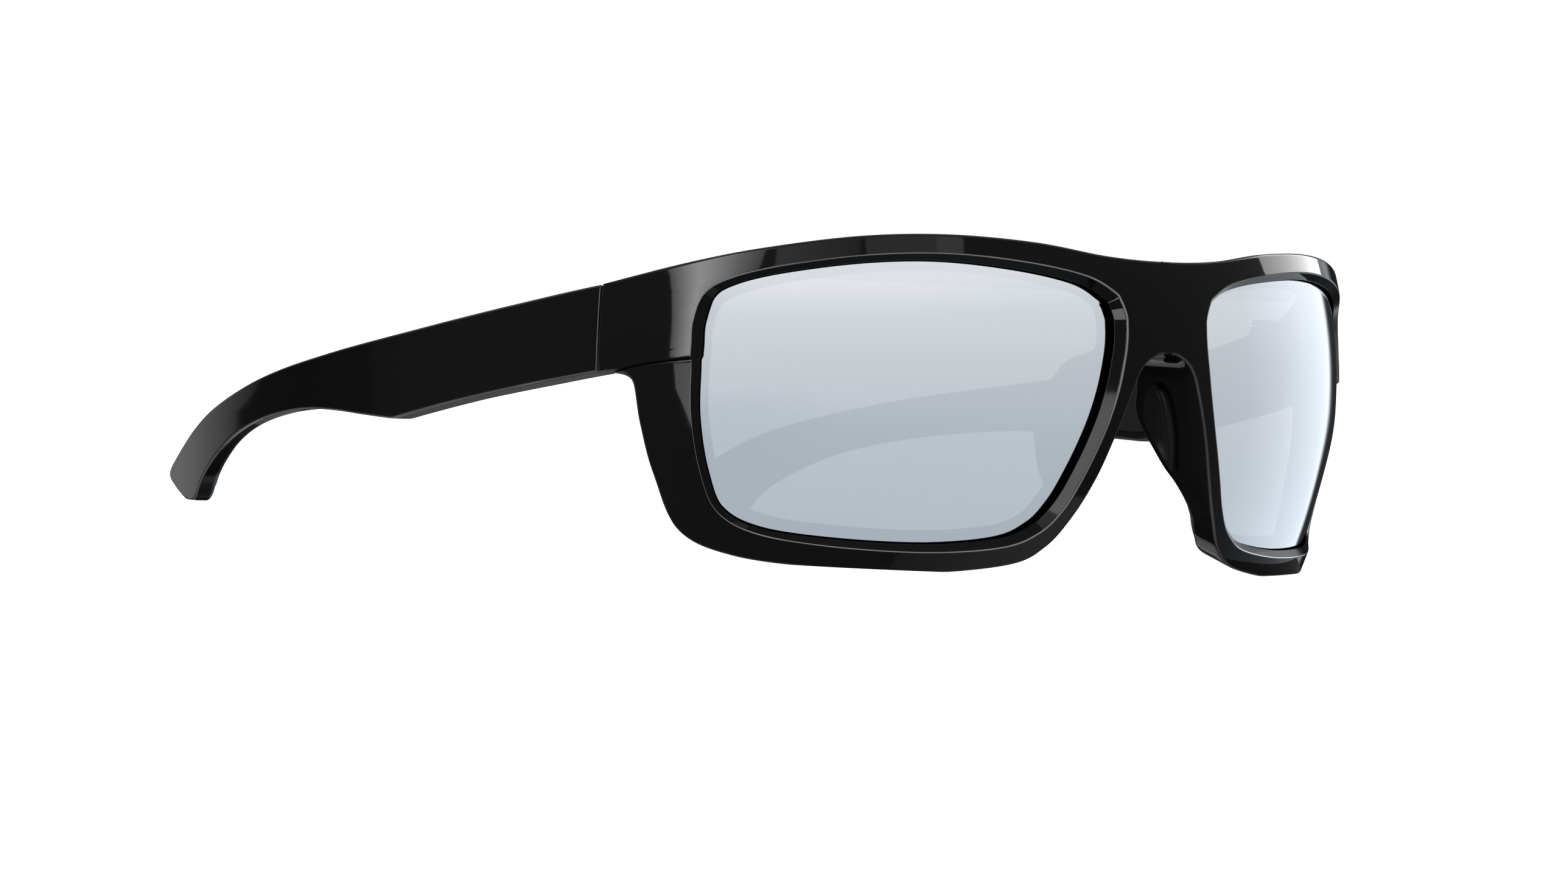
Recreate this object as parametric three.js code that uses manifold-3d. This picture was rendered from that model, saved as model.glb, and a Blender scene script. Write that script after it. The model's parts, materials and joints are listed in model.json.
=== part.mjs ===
import * as THREE from 'three';
import { mergeVertices } from 'three/addons/utils/BufferGeometryUtils.js';
import Module from 'manifold-3d';

const wasm = await Module();
wasm.setup();

// Wrap sunglasses, in millimetres.
// Worn frame: +X is the wearer's left, +Y runs back along the temples, +Z is up.
// The outer skin is one curved surface. A point on it has three coordinates:
// arc (along the top view curve from the nose), height, and depth inwards.

// Top view curve: curvature per mm at arcs measured from the middle of the nose.
const wrapArcs = [0, 25, 48, 60, 90, 110, 140, 170, 204];
const wrapCurvatures = [0.0103, 0.0139, 0.0178, 0.0178, 0.0137, 0.0099, 0.0041, -0.0003, -0.0019];
const arcStep = 0.5;
const spareArc = 10;
// The front is as bulged up and down as along the brow, and leans back at the bottom.
const verticalRadius = 62;
const frontLean = 0.105;
const leanFadeStart = 56;
const leanFadeEnd = 96;
// The lower temporal corner of the rim is tucked in towards the cheek.
const cheekTuck = 1.3;
const tuckArcs = [42, 66];
const tuckHeight = 14;

// Key spokes of one half of the front, from the edge of the lens opening to the outer
// edge of the rim. Each edge is given as arc and height. A spoke may have its own depth
// of the outer side and set back of the face, and may end on the middle plane.
const rimDepth = 4.8;
const endPieceDepth = 5.2;
const jawSetBack = 0.45;
const partingArc = 78.7;
const endPieceLength = 12.7;
const sideArc = partingArc - endPieceLength;
const cheekArc = partingArc - 3.1;
const endPieceTop = 13.6;
const endPieceBottom = 2.4;
const browTop = 17.1;
const archTop = 5.1;
const edgeRound = 0.4;
const keySpokes = [
  { opening: [7.1, 9.8], outer: [0, 12], middle: true },
  { opening: [7.9, 11.7], outer: [0, browTop - edgeRound], middle: true },
  { opening: [8.9, 12.8], outer: [0, browTop], middle: true, corner: true },
  { opening: [13.1, 14.7], outer: [9.5, 17.5] },
  { opening: [21.8, 16.2], outer: [20.5, 18.95] },
  { opening: [33, 17.1], outer: [33, 19.7] },
  { opening: [44, 16.8], outer: [44.7, 19.4] },
  { opening: [55.4, 15.4], outer: [57, 18] },
  { opening: [sideArc - 4.2, 13.9], outer: [sideArc, 16.45], depth: endPieceDepth },
  { opening: [sideArc - 1.1, 12], outer: [partingArc, endPieceTop], depth: endPieceDepth, corner: true },
  { opening: [sideArc, 8.6], outer: [partingArc, 8], depth: endPieceDepth },
  { opening: [sideArc, 5.6], outer: [partingArc, endPieceBottom], depth: endPieceDepth, corner: true },
  { opening: [sideArc, 4.2], outer: [cheekArc, 2.3], depth: endPieceDepth },
  { opening: [sideArc - 0.1, 2.6], outer: [cheekArc - 1.7, 0.9], setBack: jawSetBack },
  { opening: [sideArc - 0.4, -4], outer: [sideArc + 6.8, -4.4], setBack: jawSetBack },
  { opening: [sideArc - 1.6, -10.6], outer: [sideArc + 5.1, -10.7], setBack: jawSetBack },
  { opening: [sideArc - 3.9, -15.5], outer: [sideArc + 1.6, -18], setBack: jawSetBack },
  { opening: [56.5, -18.3], outer: [59.8, -21.2], setBack: jawSetBack / 2 },
  { opening: [46, -19.9], outer: [47, -22.7] },
  { opening: [33, -20.6], outer: [33, -23.3] },
  { opening: [22.3, -19.9], outer: [20.6, -22.2] },
  { opening: [17.2, -18], outer: [15.1, -20.3], depth: 4.9 },
  { opening: [14.2, -14.9], outer: [12.2, -16.2], depth: 5.7 },
  { opening: [11.9, -10.4], outer: [9.9, -11.1], depth: 10.7 },
  { opening: [9.6, -4.7], outer: [7.8, -5.6], depth: 14.5 },
  { opening: [8.2, 0], outer: [6, -0.8], depth: 13 },
  { opening: [7.4, 4], outer: [4.4, 2.9], depth: 9.6 },
  { opening: [7.1, 6], outer: [2.3, 4.6], depth: 6 },
  { opening: [7, 7.4], outer: [0, archTop], middle: true, corner: true },
  { opening: [7, 8.4], outer: [0, archTop + edgeRound], middle: true },
];
const spokesPerGap = 2;
const faceShares = [0.35, 0.7];
const backShares = [0, 1 / 3, 2 / 3, 1];
// The nose wings lean away from the nose as they go back, and thin towards their edge.
const wingFlare = 0.16;
const wingFlareFade = 1.5;
const wingEdge = 1.8;
const wingEdgeFade = 3;

// Bezel and lens groove.
const bezelNoseWidth = 1.3;
const bezelSideWidth = 0.6;
const bezelClearance = 0.35;
const lensNoseDepth = 1.6;
const lensTempleDepth = 1.2;
const lensArcs = [8, sideArc];
const lensLean = 0.006;
const lensThickness = 1.8;
const lensOverlap = 0.6;
const fitGap = 0.3;
const lipWidth = 1.2;
const lensCentre = new THREE.Vector2(36, -1.5);
const lensRingShares = [0.25, 0.5, 0.75, 1];

// Slit at the temporal side, where the lower jaw of the rim parts to take the lens.
const slitWidth = 0.5;
const slitLine = [
  [sideArc - 2, 4.05], [sideArc + 7, 3.16], [cheekArc - 0.3, 2.8], [cheekArc + 1.8, 1.9],
];
const slitSteps = 8;

// Temples: top and bottom edges as arc and height, and thickness along the arc. The
// bottom edge runs straight to a corner, and then curves down into the hook.
const hingeGap = 0.5;
const templeStepDown = 0.1;
const templeStart = partingArc + hingeGap;
const templeTop = [
  [templeStart, endPieceTop - templeStepDown], [93.4, 11.2], [113, 8.8], [134, 7],
  [152, 5.6], [163, 4.5], [171, 3.4], [178, 2.2], [185, 0.6], [191.4, -1.6], [196.7, -4],
  [200, -5.8], [201.8, -7],
];
const cornerArc = 117;
const templeBottom = [[templeStart, endPieceBottom - templeStepDown], [cornerArc, -2.6]];
const hookBottom = [
  [cornerArc, -2.6], [125, -1.8], [134, -0.9], [143, -0.4], [153.4, -0.6], [163.6, -1.4],
  [172, -2.7], [178.6, -4.5], [185, -7.1], [188.6, -9.3], [191, -11.4], [193, -11.7],
  [196, -10.9], [199.5, -9.1], [201.8, -7.6],
];
const templeThickness = [
  [templeStart, 5.2], [88, 5], [100, 3.8], [120, 3.2], [150, 2.5], [165, 2.3], [178, 2.4],
  [188, 2.8], [201.8, 2.8],
];
// The edges are fine outside, and softer inside along the hook.
const templeEdge = 0.4;
const templeInnerEdge = [[templeStart, 0.4], [110, 0.4], [140, 0.9], [201.8, 0.9]];
const templeSteps = 12;
const hookSteps = 26;

// Rubber grip strip let into the inner side of each temple.
const gripStart = 110;
const gripEnd = 194;
const gripMargin = 1.2;
const gripSeat = 0.9;
const gripProud = 0.3;
const gripSteps = 18;
const gripTaperLength = 5;
const gripBluntEnd = 0.6;
const gripTaperShare = 0.3;

// Hinge: a steel leaf on each side of the parting line, and one screw as the pin.
const leafStandOff = fitGap;
const leafThickness = 0.8;
const knuckleRadius = 1.8;
const knuckleBore = 1;
const pinRadius = 0.7;
const pinHeadRadius = 1.5;
const pinHeadHeight = 0.6;
const pinRecess = 0.2;
const hingeBottom = 2.6;
const knuckleHeight = 3;
const knuckleGap = 0.3;
const leafBottom = 5.2;
const leafTop = 10.8;
const frontLeafLength = 8.6;
const templeLeafLength = 10.4;
const templeLeafDrop = 0.8;
const crossTabWidth = 1.8;
const weld = 0.2;
const leafSteps = 3;
const rivetHeight = 8;
const rivetNearOffset = 3.6;
const rivetEndMargin = 1.4;
const rivetRadius = 0.5;
const rivetBore = 0.8;
const rivetHeadRadius = 1.1;
const rivetHeadHeight = 0.4;
const rivetHeadShare = 0.8;
const rivetReach = 2.2;
const knuckleSides = 20;
const boreSides = 14;
const pinSides = 12;
const headSides = 16;
const rivetSides = 10;

// Nose pads on the flanks of the wings.
const padSpokes = [22.9, 25.7];
const padFrontDepth = 6.3;
const padBackMargin = 1.6;
const padThickness = 0.9;
const padLeastLength = 0.8;
const padEndBlunt = 0.96;
const padEndPower = 3;
const padRimShare = 0.6;
const padShoulderShare = 0.7;
const padTopShare = 0.5;
const padSteps = 10;

// Small flats where the lower rims and temple tips stand on a table.
const footFlat = 0.3;
const tableSize = 600;
const steepestStand = 0.5;
const standHalvings = 40;

// Cutting tools run past the faces they cut by this much.
const cutMargin = 1;
const mergeTolerance = 1e-4;

const nylon = { color: 0x0b0b0c, roughness: 0.16, metalness: 0 };
const lensMirror = { color: 0xb4bdc6, roughness: 0.06, metalness: 0.85 };
const rubber = { color: 0x1a1b1c, roughness: 0.62, metalness: 0 };
const steel = { color: 0x8d9094, roughness: 0.3, metalness: 1 };

// Straight line interpolation in a list of [place, value] pairs.
function along(pairs, place) {
  for (let i = 1; i < pairs.length; i += 1) {
    if (place <= pairs[i][0] || i === pairs.length - 1) {
      const [x0, y0] = pairs[i - 1];
      const [x1, y1] = pairs[i];
      return y0 + (y1 - y0) * (place - x0) / (x1 - x0);
    }
  }
  return pairs[0][1];
}

// Smooth interpolation through [place, value] pairs, with Catmull-Rom tangents.
function smoothAlong(pairs, place) {
  const last = pairs.length - 1;
  let i = 0;
  while (i < last - 1 && place > pairs[i + 1][0]) i += 1;
  const slope = (a, b) => (pairs[b][1] - pairs[a][1]) / (pairs[b][0] - pairs[a][0]);
  const span = pairs[i + 1][0] - pairs[i][0];
  const t = (place - pairs[i][0]) / span;
  const m0 = slope(Math.max(i - 1, 0), i + 1) * span;
  const m1 = slope(i, Math.min(i + 2, last)) * span;
  return hermite(pairs[i][1], m0, pairs[i + 1][1], m1, t);
}

function hermite(p0, m0, p1, m1, t) {
  const t2 = t * t;
  const t3 = t2 * t;
  return (2 * t3 - 3 * t2 + 1) * p0 + (t3 - 2 * t2 + t) * m0
    + (3 * t2 - 2 * t3) * p1 + (t3 - t2) * m1;
}

// Top view curve, integrated once from its curvature.
const wrapCurve = [{ x: 0, y: 0, turn: 0 }];
const curvaturePairs = wrapArcs.map((arc, i) => [arc, wrapCurvatures[i]]);
while (wrapCurve.length * arcStep < wrapArcs.at(-1) + spareArc) {
  const last = wrapCurve.at(-1);
  const middleArc = (wrapCurve.length - 0.5) * arcStep;
  const turn = last.turn + along(curvaturePairs, middleArc) * arcStep;
  const heading = (last.turn + turn) / 2;
  const x = last.x + Math.cos(heading) * arcStep;
  const y = last.y + Math.sin(heading) * arcStep;
  wrapCurve.push({ x, y, turn });
}

function wrapAt(arc) {
  const place = Math.min(Math.max(arc / arcStep, 0), wrapCurve.length - 1.001);
  const i = Math.floor(place);
  const f = place - i;
  const a = wrapCurve[i];
  const b = wrapCurve[i + 1];
  const mix = (key) => a[key] + (b[key] - a[key]) * f;
  return { x: mix('x'), y: mix('y'), turn: mix('turn') };
}

// Worn position of a point given by arc, height and depth below the outer skin.
function skin(arc, height, depth) {
  const { x, y, turn } = wrapAt(arc);
  const fade = 1 - THREE.MathUtils.smoothstep(arc, leanFadeStart, leanFadeEnd);
  const bulge = fade * height * height / (2 * verticalRadius);
  const bulgeSlope = fade * height / verticalRadius;
  const lean = -frontLean * fade;
  const inward = new THREE.Vector3(-Math.sin(turn), Math.cos(turn), 0);
  const point = new THREE.Vector3(x, y + lean * height, height);
  const tuck = cheekTuck * THREE.MathUtils.smoothstep(arc, ...tuckArcs) * fade
    * THREE.MathUtils.smoothstep(-height, 0, tuckHeight);
  point.addScaledVector(inward, bulge + tuck);
  const normal = inward.clone();
  normal.z = -(bulgeSlope + lean * Math.cos(turn));
  return point.addScaledVector(normal.normalize(), depth);
}

// Closed body from points and triangles, turned so that its faces point out.
function body(points, triangles) {
  let volume = 0;
  for (const [a, b, c] of triangles) {
    volume += points[a].dot(points[b].clone().cross(points[c]));
  }
  const turned = volume < 0 ? triangles.map(([a, b, c]) => [a, c, b]) : triangles;
  const geometry = new THREE.BufferGeometry();
  geometry.setAttribute('position', new THREE.Float32BufferAttribute(
    points.flatMap((point) => point.toArray()), 3));
  geometry.setIndex(turned.flat());
  return mergeVertices(geometry, mergeTolerance);
}

function quadPair(a, b, c, d) {
  return [[a, b, c], [a, c, d]];
}

// Closed body through rings of points. The first and last ring are capped from their middle.
function loft(rings) {
  const count = rings[0].length;
  const points = rings.flat();
  const triangles = [];
  for (let i = 0; i < rings.length - 1; i += 1) {
    const next = i + 1;
    for (let j = 0; j < count; j += 1) {
      const k = (j + 1) % count;
      triangles.push(...quadPair(i * count + j, i * count + k, next * count + k, next * count + j));
    }
  }
  for (const [ring, flip] of [[0, true], [rings.length - 1, false]]) {
    const middle = new THREE.Vector3();
    rings[ring].forEach((point) => middle.addScaledVector(point, 1 / count));
    const hub = points.push(middle) - 1;
    for (let j = 0; j < count; j += 1) {
      const a = ring * count + j;
      const b = ring * count + (j + 1) % count;
      triangles.push(flip ? [hub, b, a] : [hub, a, b]);
    }
  }
  return body(points, triangles);
}

// Block of the skin between two arcs. Its heights and depths are functions of the arc.
function skinBlock(arcs, heights, depths, steps) {
  const rings = [];
  for (let i = 0; i <= steps; i += 1) {
    const arc = THREE.MathUtils.lerp(arcs[0], arcs[1], i / steps);
    const [low, high] = heights(arc);
    const [outer, inner] = depths(arc);
    rings.push([
      skin(arc, low, outer), skin(arc, high, outer),
      skin(arc, high, inner), skin(arc, low, inner),
    ]);
  }
  return loft(rings);
}

function toSolid(geometry) {
  const plain = geometry.clone();
  plain.deleteAttribute('normal');
  plain.deleteAttribute('uv');
  const merged = mergeVertices(plain, mergeTolerance);
  return new wasm.Manifold(new wasm.Mesh({
    numProp: 3,
    vertProperties: Float32Array.from(merged.attributes.position.array),
    triVerts: Uint32Array.from(merged.index.array),
  }));
}

function toGeometry(solid) {
  const mesh = solid.getMesh();
  const geometry = new THREE.BufferGeometry();
  geometry.setAttribute('position', new THREE.BufferAttribute(mesh.vertProperties, 3));
  geometry.setIndex(new THREE.BufferAttribute(mesh.triVerts, 1));
  return geometry;
}

function joined(...geometries) {
  return toGeometry(geometries.map(toSolid).reduce((whole, piece) => whole.add(piece)));
}

function cut(geometry, ...tools) {
  const whole = toSolid(geometry);
  return toGeometry(tools.map(toSolid).reduce((left, tool) => left.subtract(tool), whole));
}

// Mirror image across the middle plane, with its faces turned back out.
function mirrored(geometry) {
  const copy = geometry.clone().scale(-1, 1, 1);
  const index = Array.from(copy.index.array);
  for (let i = 0; i < index.length; i += 3) {
    [index[i + 1], index[i + 2]] = [index[i + 2], index[i + 1]];
  }
  copy.setIndex(index);
  return copy;
}

// Spokes between the key ones, on smooth curves that break at the corners.
function spokeAt(place) {
  const count = keySpokes.length;
  const wrap = (i) => keySpokes[(i + count) % count];
  const i = Math.floor(place);
  const t = place - i;
  const [before, from, to, after] = [wrap(i - 1), wrap(i), wrap(i + 1), wrap(i + 2)];
  const blend = (key, axis, breaks) => {
    const value = (spoke) => spoke[key][axis];
    const straight = value(to) - value(from);
    const m0 = breaks && from.corner ? straight : (value(to) - value(before)) / 2;
    const m1 = breaks && to.corner ? straight : (value(after) - value(from)) / 2;
    return hermite(value(from), m0, value(to), m1, t);
  };
  const mix = (key, fallback) => THREE.MathUtils.lerp(
    from[key] ?? fallback, to[key] ?? fallback, t);
  const inMiddle = t === 0 ? Boolean(from.middle) : Boolean(from.middle && to.middle);
  return {
    opening: new THREE.Vector2(blend('opening', 0, false), blend('opening', 1, false)),
    outer: new THREE.Vector2(inMiddle ? 0 : blend('outer', 0, true), blend('outer', 1, true)),
    depth: mix('depth', rimDepth),
    setBack: mix('setBack', 0),
    middle: inMiddle,
    plainEdge: inMiddle && !(t === 0 && from.corner),
  };
}

// Direction square to the opening's edge, pointing away from the lens.
function openingNormal(place) {
  const step = 0.05;
  const ahead = spokeAt(place + step).opening;
  const behind = spokeAt(place - step + keySpokes.length).opening;
  const normal = new THREE.Vector2(behind.y - ahead.y, ahead.x - behind.x);
  return normal.normalize();
}

// Depth of the lens face below the skin: the lens is a little flatter than the frame.
function lensDepthAt(spot) {
  const share = (spot.x - lensArcs[0]) / (lensArcs[1] - lensArcs[0]);
  return THREE.MathUtils.lerp(lensNoseDepth, lensTempleDepth, share) + lensLean * spot.y;
}

// How far the back edge of the side wall leans away from the nose.
function flareOf(spoke) {
  const extra = Math.max(spoke.depth - endPieceDepth, 0);
  return wingFlare * spoke.depth * extra / (extra + wingFlareFade);
}

// Cross section of the rim along one spoke, as skin points.
function rimSection(place) {
  const spoke = spokeAt(place);
  const { opening, outer, setBack } = spoke;
  const normal = openingNormal(place);
  const width = opening.distanceTo(outer);
  const round = spoke.plainEdge ? 0 : edgeRound;
  const flare = flareOf(spoke);
  const wing = THREE.MathUtils.clamp((spoke.depth - endPieceDepth) / wingEdgeFade, 0, 1);
  const edge = THREE.MathUtils.lerp(edgeRound, wingEdge, wing);
  const lipDepth = Math.min(spoke.depth, endPieceDepth);
  const bezelWidth = bezelSideWidth + (bezelNoseWidth - bezelSideWidth) * Math.max(0, -normal.x);
  const lensFace = lensDepthAt(opening);
  const near = (across, depth) => {
    const spot = opening.clone().addScaledVector(normal, across);
    return skin(spot.x, spot.y, depth);
  };
  const far = (across, depth) => {
    const spot = opening.clone().lerp(outer, across / width);
    return skin(spot.x, spot.y, depth);
  };
  const sideEnd = width - flare;
  const groove = lensOverlap + fitGap;
  const back = (share) => {
    const lip = opening.clone().addScaledVector(normal, -lipWidth);
    const start = opening.clone().lerp(outer, (sideEnd - edge) / width);
    const spot = start.lerp(lip, share);
    return skin(spot.x, spot.y, THREE.MathUtils.lerp(spoke.depth, lipDepth, share));
  };
  return [
    near(-bezelWidth, lensFace - bezelClearance),
    near(0, setBack),
    ...faceShares.map((share) => far(width * share, setBack)),
    far(width - edgeRound, setBack),
    far(width, round + (round > 0 ? setBack : 0)),
    far(sideEnd, spoke.depth - round),
    ...backShares.map(back),
    near(-lipWidth, lensFace + lensThickness + fitGap),
    near(groove, lensFace + lensThickness + fitGap),
    near(groove, lensFace - fitGap),
  ];
}

function frontHalf() {
  const count = keySpokes.length * spokesPerGap;
  const places = Array.from({ length: count }, (unused, i) => i / spokesPerGap);
  const rings = places.map(rimSection);
  const middles = places.map((place) => spokeAt(place).middle);
  const size = rings[0].length;
  const sideWall = faceShares.length + 3;
  const points = rings.flat();
  const triangles = [];
  for (let i = 0; i < count; i += 1) {
    const next = (i + 1) % count;
    for (let j = 0; j < size; j += 1) {
      const k = (j + 1) % size;
      const onMiddle = j === sideWall && middles[i] && middles[next];
      if (onMiddle) continue;
      triangles.push(...quadPair(i * size + j, i * size + k, next * size + k, next * size + j));
    }
  }
  return { points, triangles };
}

function frontShell() {
  const half = frontHalf();
  const offset = half.points.length;
  const other = half.points.map((point) => new THREE.Vector3(-point.x, point.y, point.z));
  const flipped = half.triangles.map(([a, b, c]) => [a + offset, c + offset, b + offset]);
  return body([...half.points, ...other], [...half.triangles, ...flipped]);
}

// Thin slab along the slit line, through the whole depth of the rim.
function slitTool() {
  const heights = (arc) => {
    const height = along(slitLine, arc);
    return [height - slitWidth / 2, height + slitWidth / 2];
  };
  const depths = () => [-cutMargin, endPieceDepth + cutMargin];
  return skinBlock([slitLine[0][0], slitLine.at(-1)[0]], heights, depths, slitSteps);
}

function frontFrame() {
  const holes = rivetPlaces(-1).map((place) => rivetHole(place, endPieceDepth));
  const tools = [slitTool(), ...holes];
  return cut(frontShell(), ...tools, ...tools.map(mirrored));
}

// Lens: a shell of even thickness whose edge sits in the groove.
function lens() {
  const count = keySpokes.length * spokesPerGap;
  const outline = Array.from({ length: count }, (unused, i) => {
    const place = i / spokesPerGap;
    return spokeAt(place).opening.addScaledVector(openingNormal(place), lensOverlap);
  });
  const layer = (depth) => lensRingShares.map((share) => outline.map((spot) => {
    const place = lensCentre.clone().lerp(spot, share);
    return skin(place.x, place.y, lensDepthAt(place) + depth);
  }));
  const front = layer(0);
  const back = layer(lensThickness);
  return loft([...front, ...back.reverse()]);
}

// Nose pad: a ribbed rubber oblong on the nose side of a wing.
function nosePad() {
  const rings = [];
  for (let i = 0; i <= padSteps; i += 1) {
    const f = i / padSteps;
    const place = THREE.MathUtils.lerp(padSpokes[0], padSpokes[1], f);
    const spoke = spokeAt(place);
    const round = Math.sqrt(1 - Math.min(padEndBlunt, Math.abs(2 * f - 1) ** padEndPower));
    const back = spoke.depth - padBackMargin;
    const middle = (padFrontDepth + back) / 2;
    const half = Math.max(back - padFrontDepth, padLeastLength) / 2 * round;
    const crown = padThickness * THREE.MathUtils.lerp(padRimShare, 1, round);
    const shoulder = crown * padShoulderShare;
    const at = (depth, proud) => flankPoint(spoke, depth, fitGap + proud);
    rings.push([
      at(middle - half, 0), at(middle + half, 0),
      at(middle + half, shoulder), at(middle + half * padTopShare, crown),
      at(middle - half * padTopShare, crown), at(middle - half, shoulder),
    ]);
  }
  return loft(rings);
}

// Point on the nose side of the rim, stood off it by some distance.
function flankPoint(spoke, depth, standOff) {
  const { opening, outer } = spoke;
  const width = opening.distanceTo(outer);
  const share = (depth - edgeRound) / (spoke.depth - 2 * edgeRound);
  const across = width - flareOf(spoke) * share + standOff;
  const spot = opening.clone().lerp(outer, across / width);
  return skin(spot.x, spot.y, depth);
}

function templeHeights(arc) {
  const low = arc < cornerArc ? along(templeBottom, arc) : smoothAlong(hookBottom, arc);
  return [low, smoothAlong(templeTop, arc)];
}

function temple() {
  const templeEnd = templeTop.at(-1)[0];
  const rings = [];
  for (let i = 0; i <= templeSteps + hookSteps; i += 1) {
    const arc = i < templeSteps
      ? THREE.MathUtils.lerp(templeStart, cornerArc, i / templeSteps)
      : THREE.MathUtils.lerp(cornerArc, templeEnd, (i - templeSteps) / hookSteps);
    const [low, high] = templeHeights(arc);
    const inner = along(templeThickness, arc);
    const fine = Math.min(templeEdge, (high - low) / 4);
    const soft = Math.min(along(templeInnerEdge, arc), (high - low) / 4);
    rings.push([
      skin(arc, low + fine, 0), skin(arc, high - fine, 0),
      skin(arc, high, fine), skin(arc, high, inner - soft),
      skin(arc, high - soft, inner), skin(arc, low + soft, inner),
      skin(arc, low, inner - soft), skin(arc, low, fine),
    ]);
  }
  const holes = rivetPlaces(1).map((place) => rivetHole(place, along(templeThickness, place)));
  return cut(loft(rings), gripBlock(gripSeat, cutMargin, 0), ...holes);
}

// Block along the inner side of the temple, sunk into the plastic by one measure and
// proud of it by another, and drawn in all round by an inset.
function gripBlock(sunk, proud, inset) {
  const heights = (arc) => {
    const [low, high] = templeHeights(arc);
    const ends = Math.min(arc - gripStart, gripEnd - arc) + gripBluntEnd;
    const taper = 1 - Math.sqrt(THREE.MathUtils.clamp(ends / gripTaperLength, 0, 1));
    const room = high - low - 2 * gripMargin;
    const margin = gripMargin + inset + taper * room * gripTaperShare;
    return [low + margin, high - margin];
  };
  const depths = (arc) => {
    const face = along(templeThickness, arc);
    return [face - sunk, face + proud];
  };
  const arcs = [gripStart + inset, gripEnd - inset];
  return skinBlock(arcs, heights, depths, gripSteps);
}

function templeGrip() {
  return gripBlock(gripSeat - fitGap, gripProud, fitGap);
}

// Hinge pin: upright in the worn frame, beside the inner faces at the parting line.
const pinArc = partingArc + hingeGap / 2;
const leafDepth = endPieceDepth + leafStandOff;
const pinDepth = leafDepth + knuckleRadius;
const pinPlace = skin(pinArc, 0, pinDepth);
const hingeTop = hingeBottom + 3 * knuckleHeight + 2 * knuckleGap;

function pinRod(radius, low, high, sides) {
  return new THREE.CylinderGeometry(radius, radius, high - low, sides)
    .rotateX(Math.PI / 2)
    .translate(pinPlace.x, pinPlace.y, (low + high) / 2);
}

function knuckleSpan(number) {
  const low = hingeBottom + number * (knuckleHeight + knuckleGap);
  return [low, low + knuckleHeight];
}

function leafSlab(fromArc, toArc, low, high) {
  const depths = [leafDepth, leafDepth + leafThickness];
  return skinBlock([fromArc, toArc], () => [low, high], () => depths, leafSteps);
}

// Arcs of the two rivets of a leaf: side -1 is the front's leaf, and 1 the temple's.
function rivetPlaces(side) {
  const leafLength = side < 0 ? frontLeafLength : templeLeafLength;
  return [rivetNearOffset, leafLength - rivetEndMargin].map((offset) => pinArc + side * offset);
}

// Geometry made along +Z moved to the skin, with +Z pointing out of the wearer's side.
function onSkin(geometry, arc, height, depth) {
  const at = skin(arc, height, depth);
  const outward = skin(arc, height, 0).sub(at).normalize();
  const turn = new THREE.Quaternion().setFromUnitVectors(new THREE.Vector3(0, 0, 1), outward);
  return geometry.applyQuaternion(turn).translate(at.x, at.y, at.z);
}

function rivetHole(arc, face) {
  const length = rivetReach + fitGap + cutMargin;
  const hole = new THREE.CylinderGeometry(rivetBore, rivetBore, length, rivetSides)
    .rotateX(Math.PI / 2);
  return onSkin(hole, arc, rivetHeight, face + cutMargin - length / 2);
}

function rivet(arc) {
  const headDepth = leafDepth + leafThickness + fitGap;
  const shank = headDepth - (endPieceDepth - rivetReach);
  const profile = [
    [0, -rivetHeadHeight], [rivetHeadRadius * rivetHeadShare, -rivetHeadHeight],
    [rivetHeadRadius, 0], [rivetRadius, 0], [rivetRadius, shank], [0, shank],
  ].map(([x, y]) => new THREE.Vector2(x, y));
  const turned = new THREE.LatheGeometry(profile, rivetSides).rotateX(Math.PI / 2);
  return onSkin(joined(turned), arc, rivetHeight, headDepth);
}

function leafHole(arc) {
  const length = leafThickness + 2 * cutMargin;
  const hole = new THREE.CylinderGeometry(rivetBore, rivetBore, length, rivetSides)
    .rotateX(Math.PI / 2);
  return onSkin(hole, arc, rivetHeight, leafDepth + leafThickness / 2);
}

function knuckleHole() {
  return pinRod(knuckleBore, hingeBottom - cutMargin, hingeTop + cutMargin, boreSides);
}

function frontLeaf() {
  const tabEnd = pinArc - knuckleRadius - knuckleGap;
  const pieces = [
    leafSlab(pinArc - frontLeafLength, tabEnd, leafBottom, leafTop),
    leafSlab(tabEnd - crossTabWidth, tabEnd, hingeBottom, hingeTop),
  ];
  for (const number of [0, 2]) {
    const [low, high] = knuckleSpan(number);
    pieces.push(leafSlab(tabEnd - weld, pinArc, low, high));
    pieces.push(pinRod(knuckleRadius, low, high, knuckleSides));
  }
  return cut(joined(...pieces), knuckleHole(), ...rivetPlaces(-1).map(leafHole));
}

function templeLeaf() {
  const tabEnd = pinArc + knuckleRadius + knuckleGap;
  const [low, high] = knuckleSpan(1);
  const pieces = [
    leafSlab(tabEnd, pinArc + templeLeafLength, leafBottom, leafTop - templeLeafDrop),
    leafSlab(pinArc, tabEnd + weld, low, high),
    pinRod(knuckleRadius, low, high, knuckleSides),
  ];
  return cut(joined(...pieces), knuckleHole(), ...rivetPlaces(1).map(leafHole));
}

function hingeScrew() {
  const seat = hingeTop + fitGap;
  const shank = pinRod(pinRadius, hingeBottom + pinRecess, seat + weld, pinSides);
  const head = pinRod(pinHeadRadius, seat, seat + pinHeadHeight, headSides);
  return joined(shank, head);
}

// The stand: the front and the temples rest on one plane. Its slope in the worn frame
// is found by halving, from the lowest points of both.
function lowestOn(geometry, slope) {
  const position = geometry.attributes.position;
  let lowest = Infinity;
  for (let i = 0; i < position.count; i += 1) {
    const height = position.getZ(i) * Math.cos(slope) - position.getY(i) * Math.sin(slope);
    lowest = Math.min(lowest, height);
  }
  return lowest;
}

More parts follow.
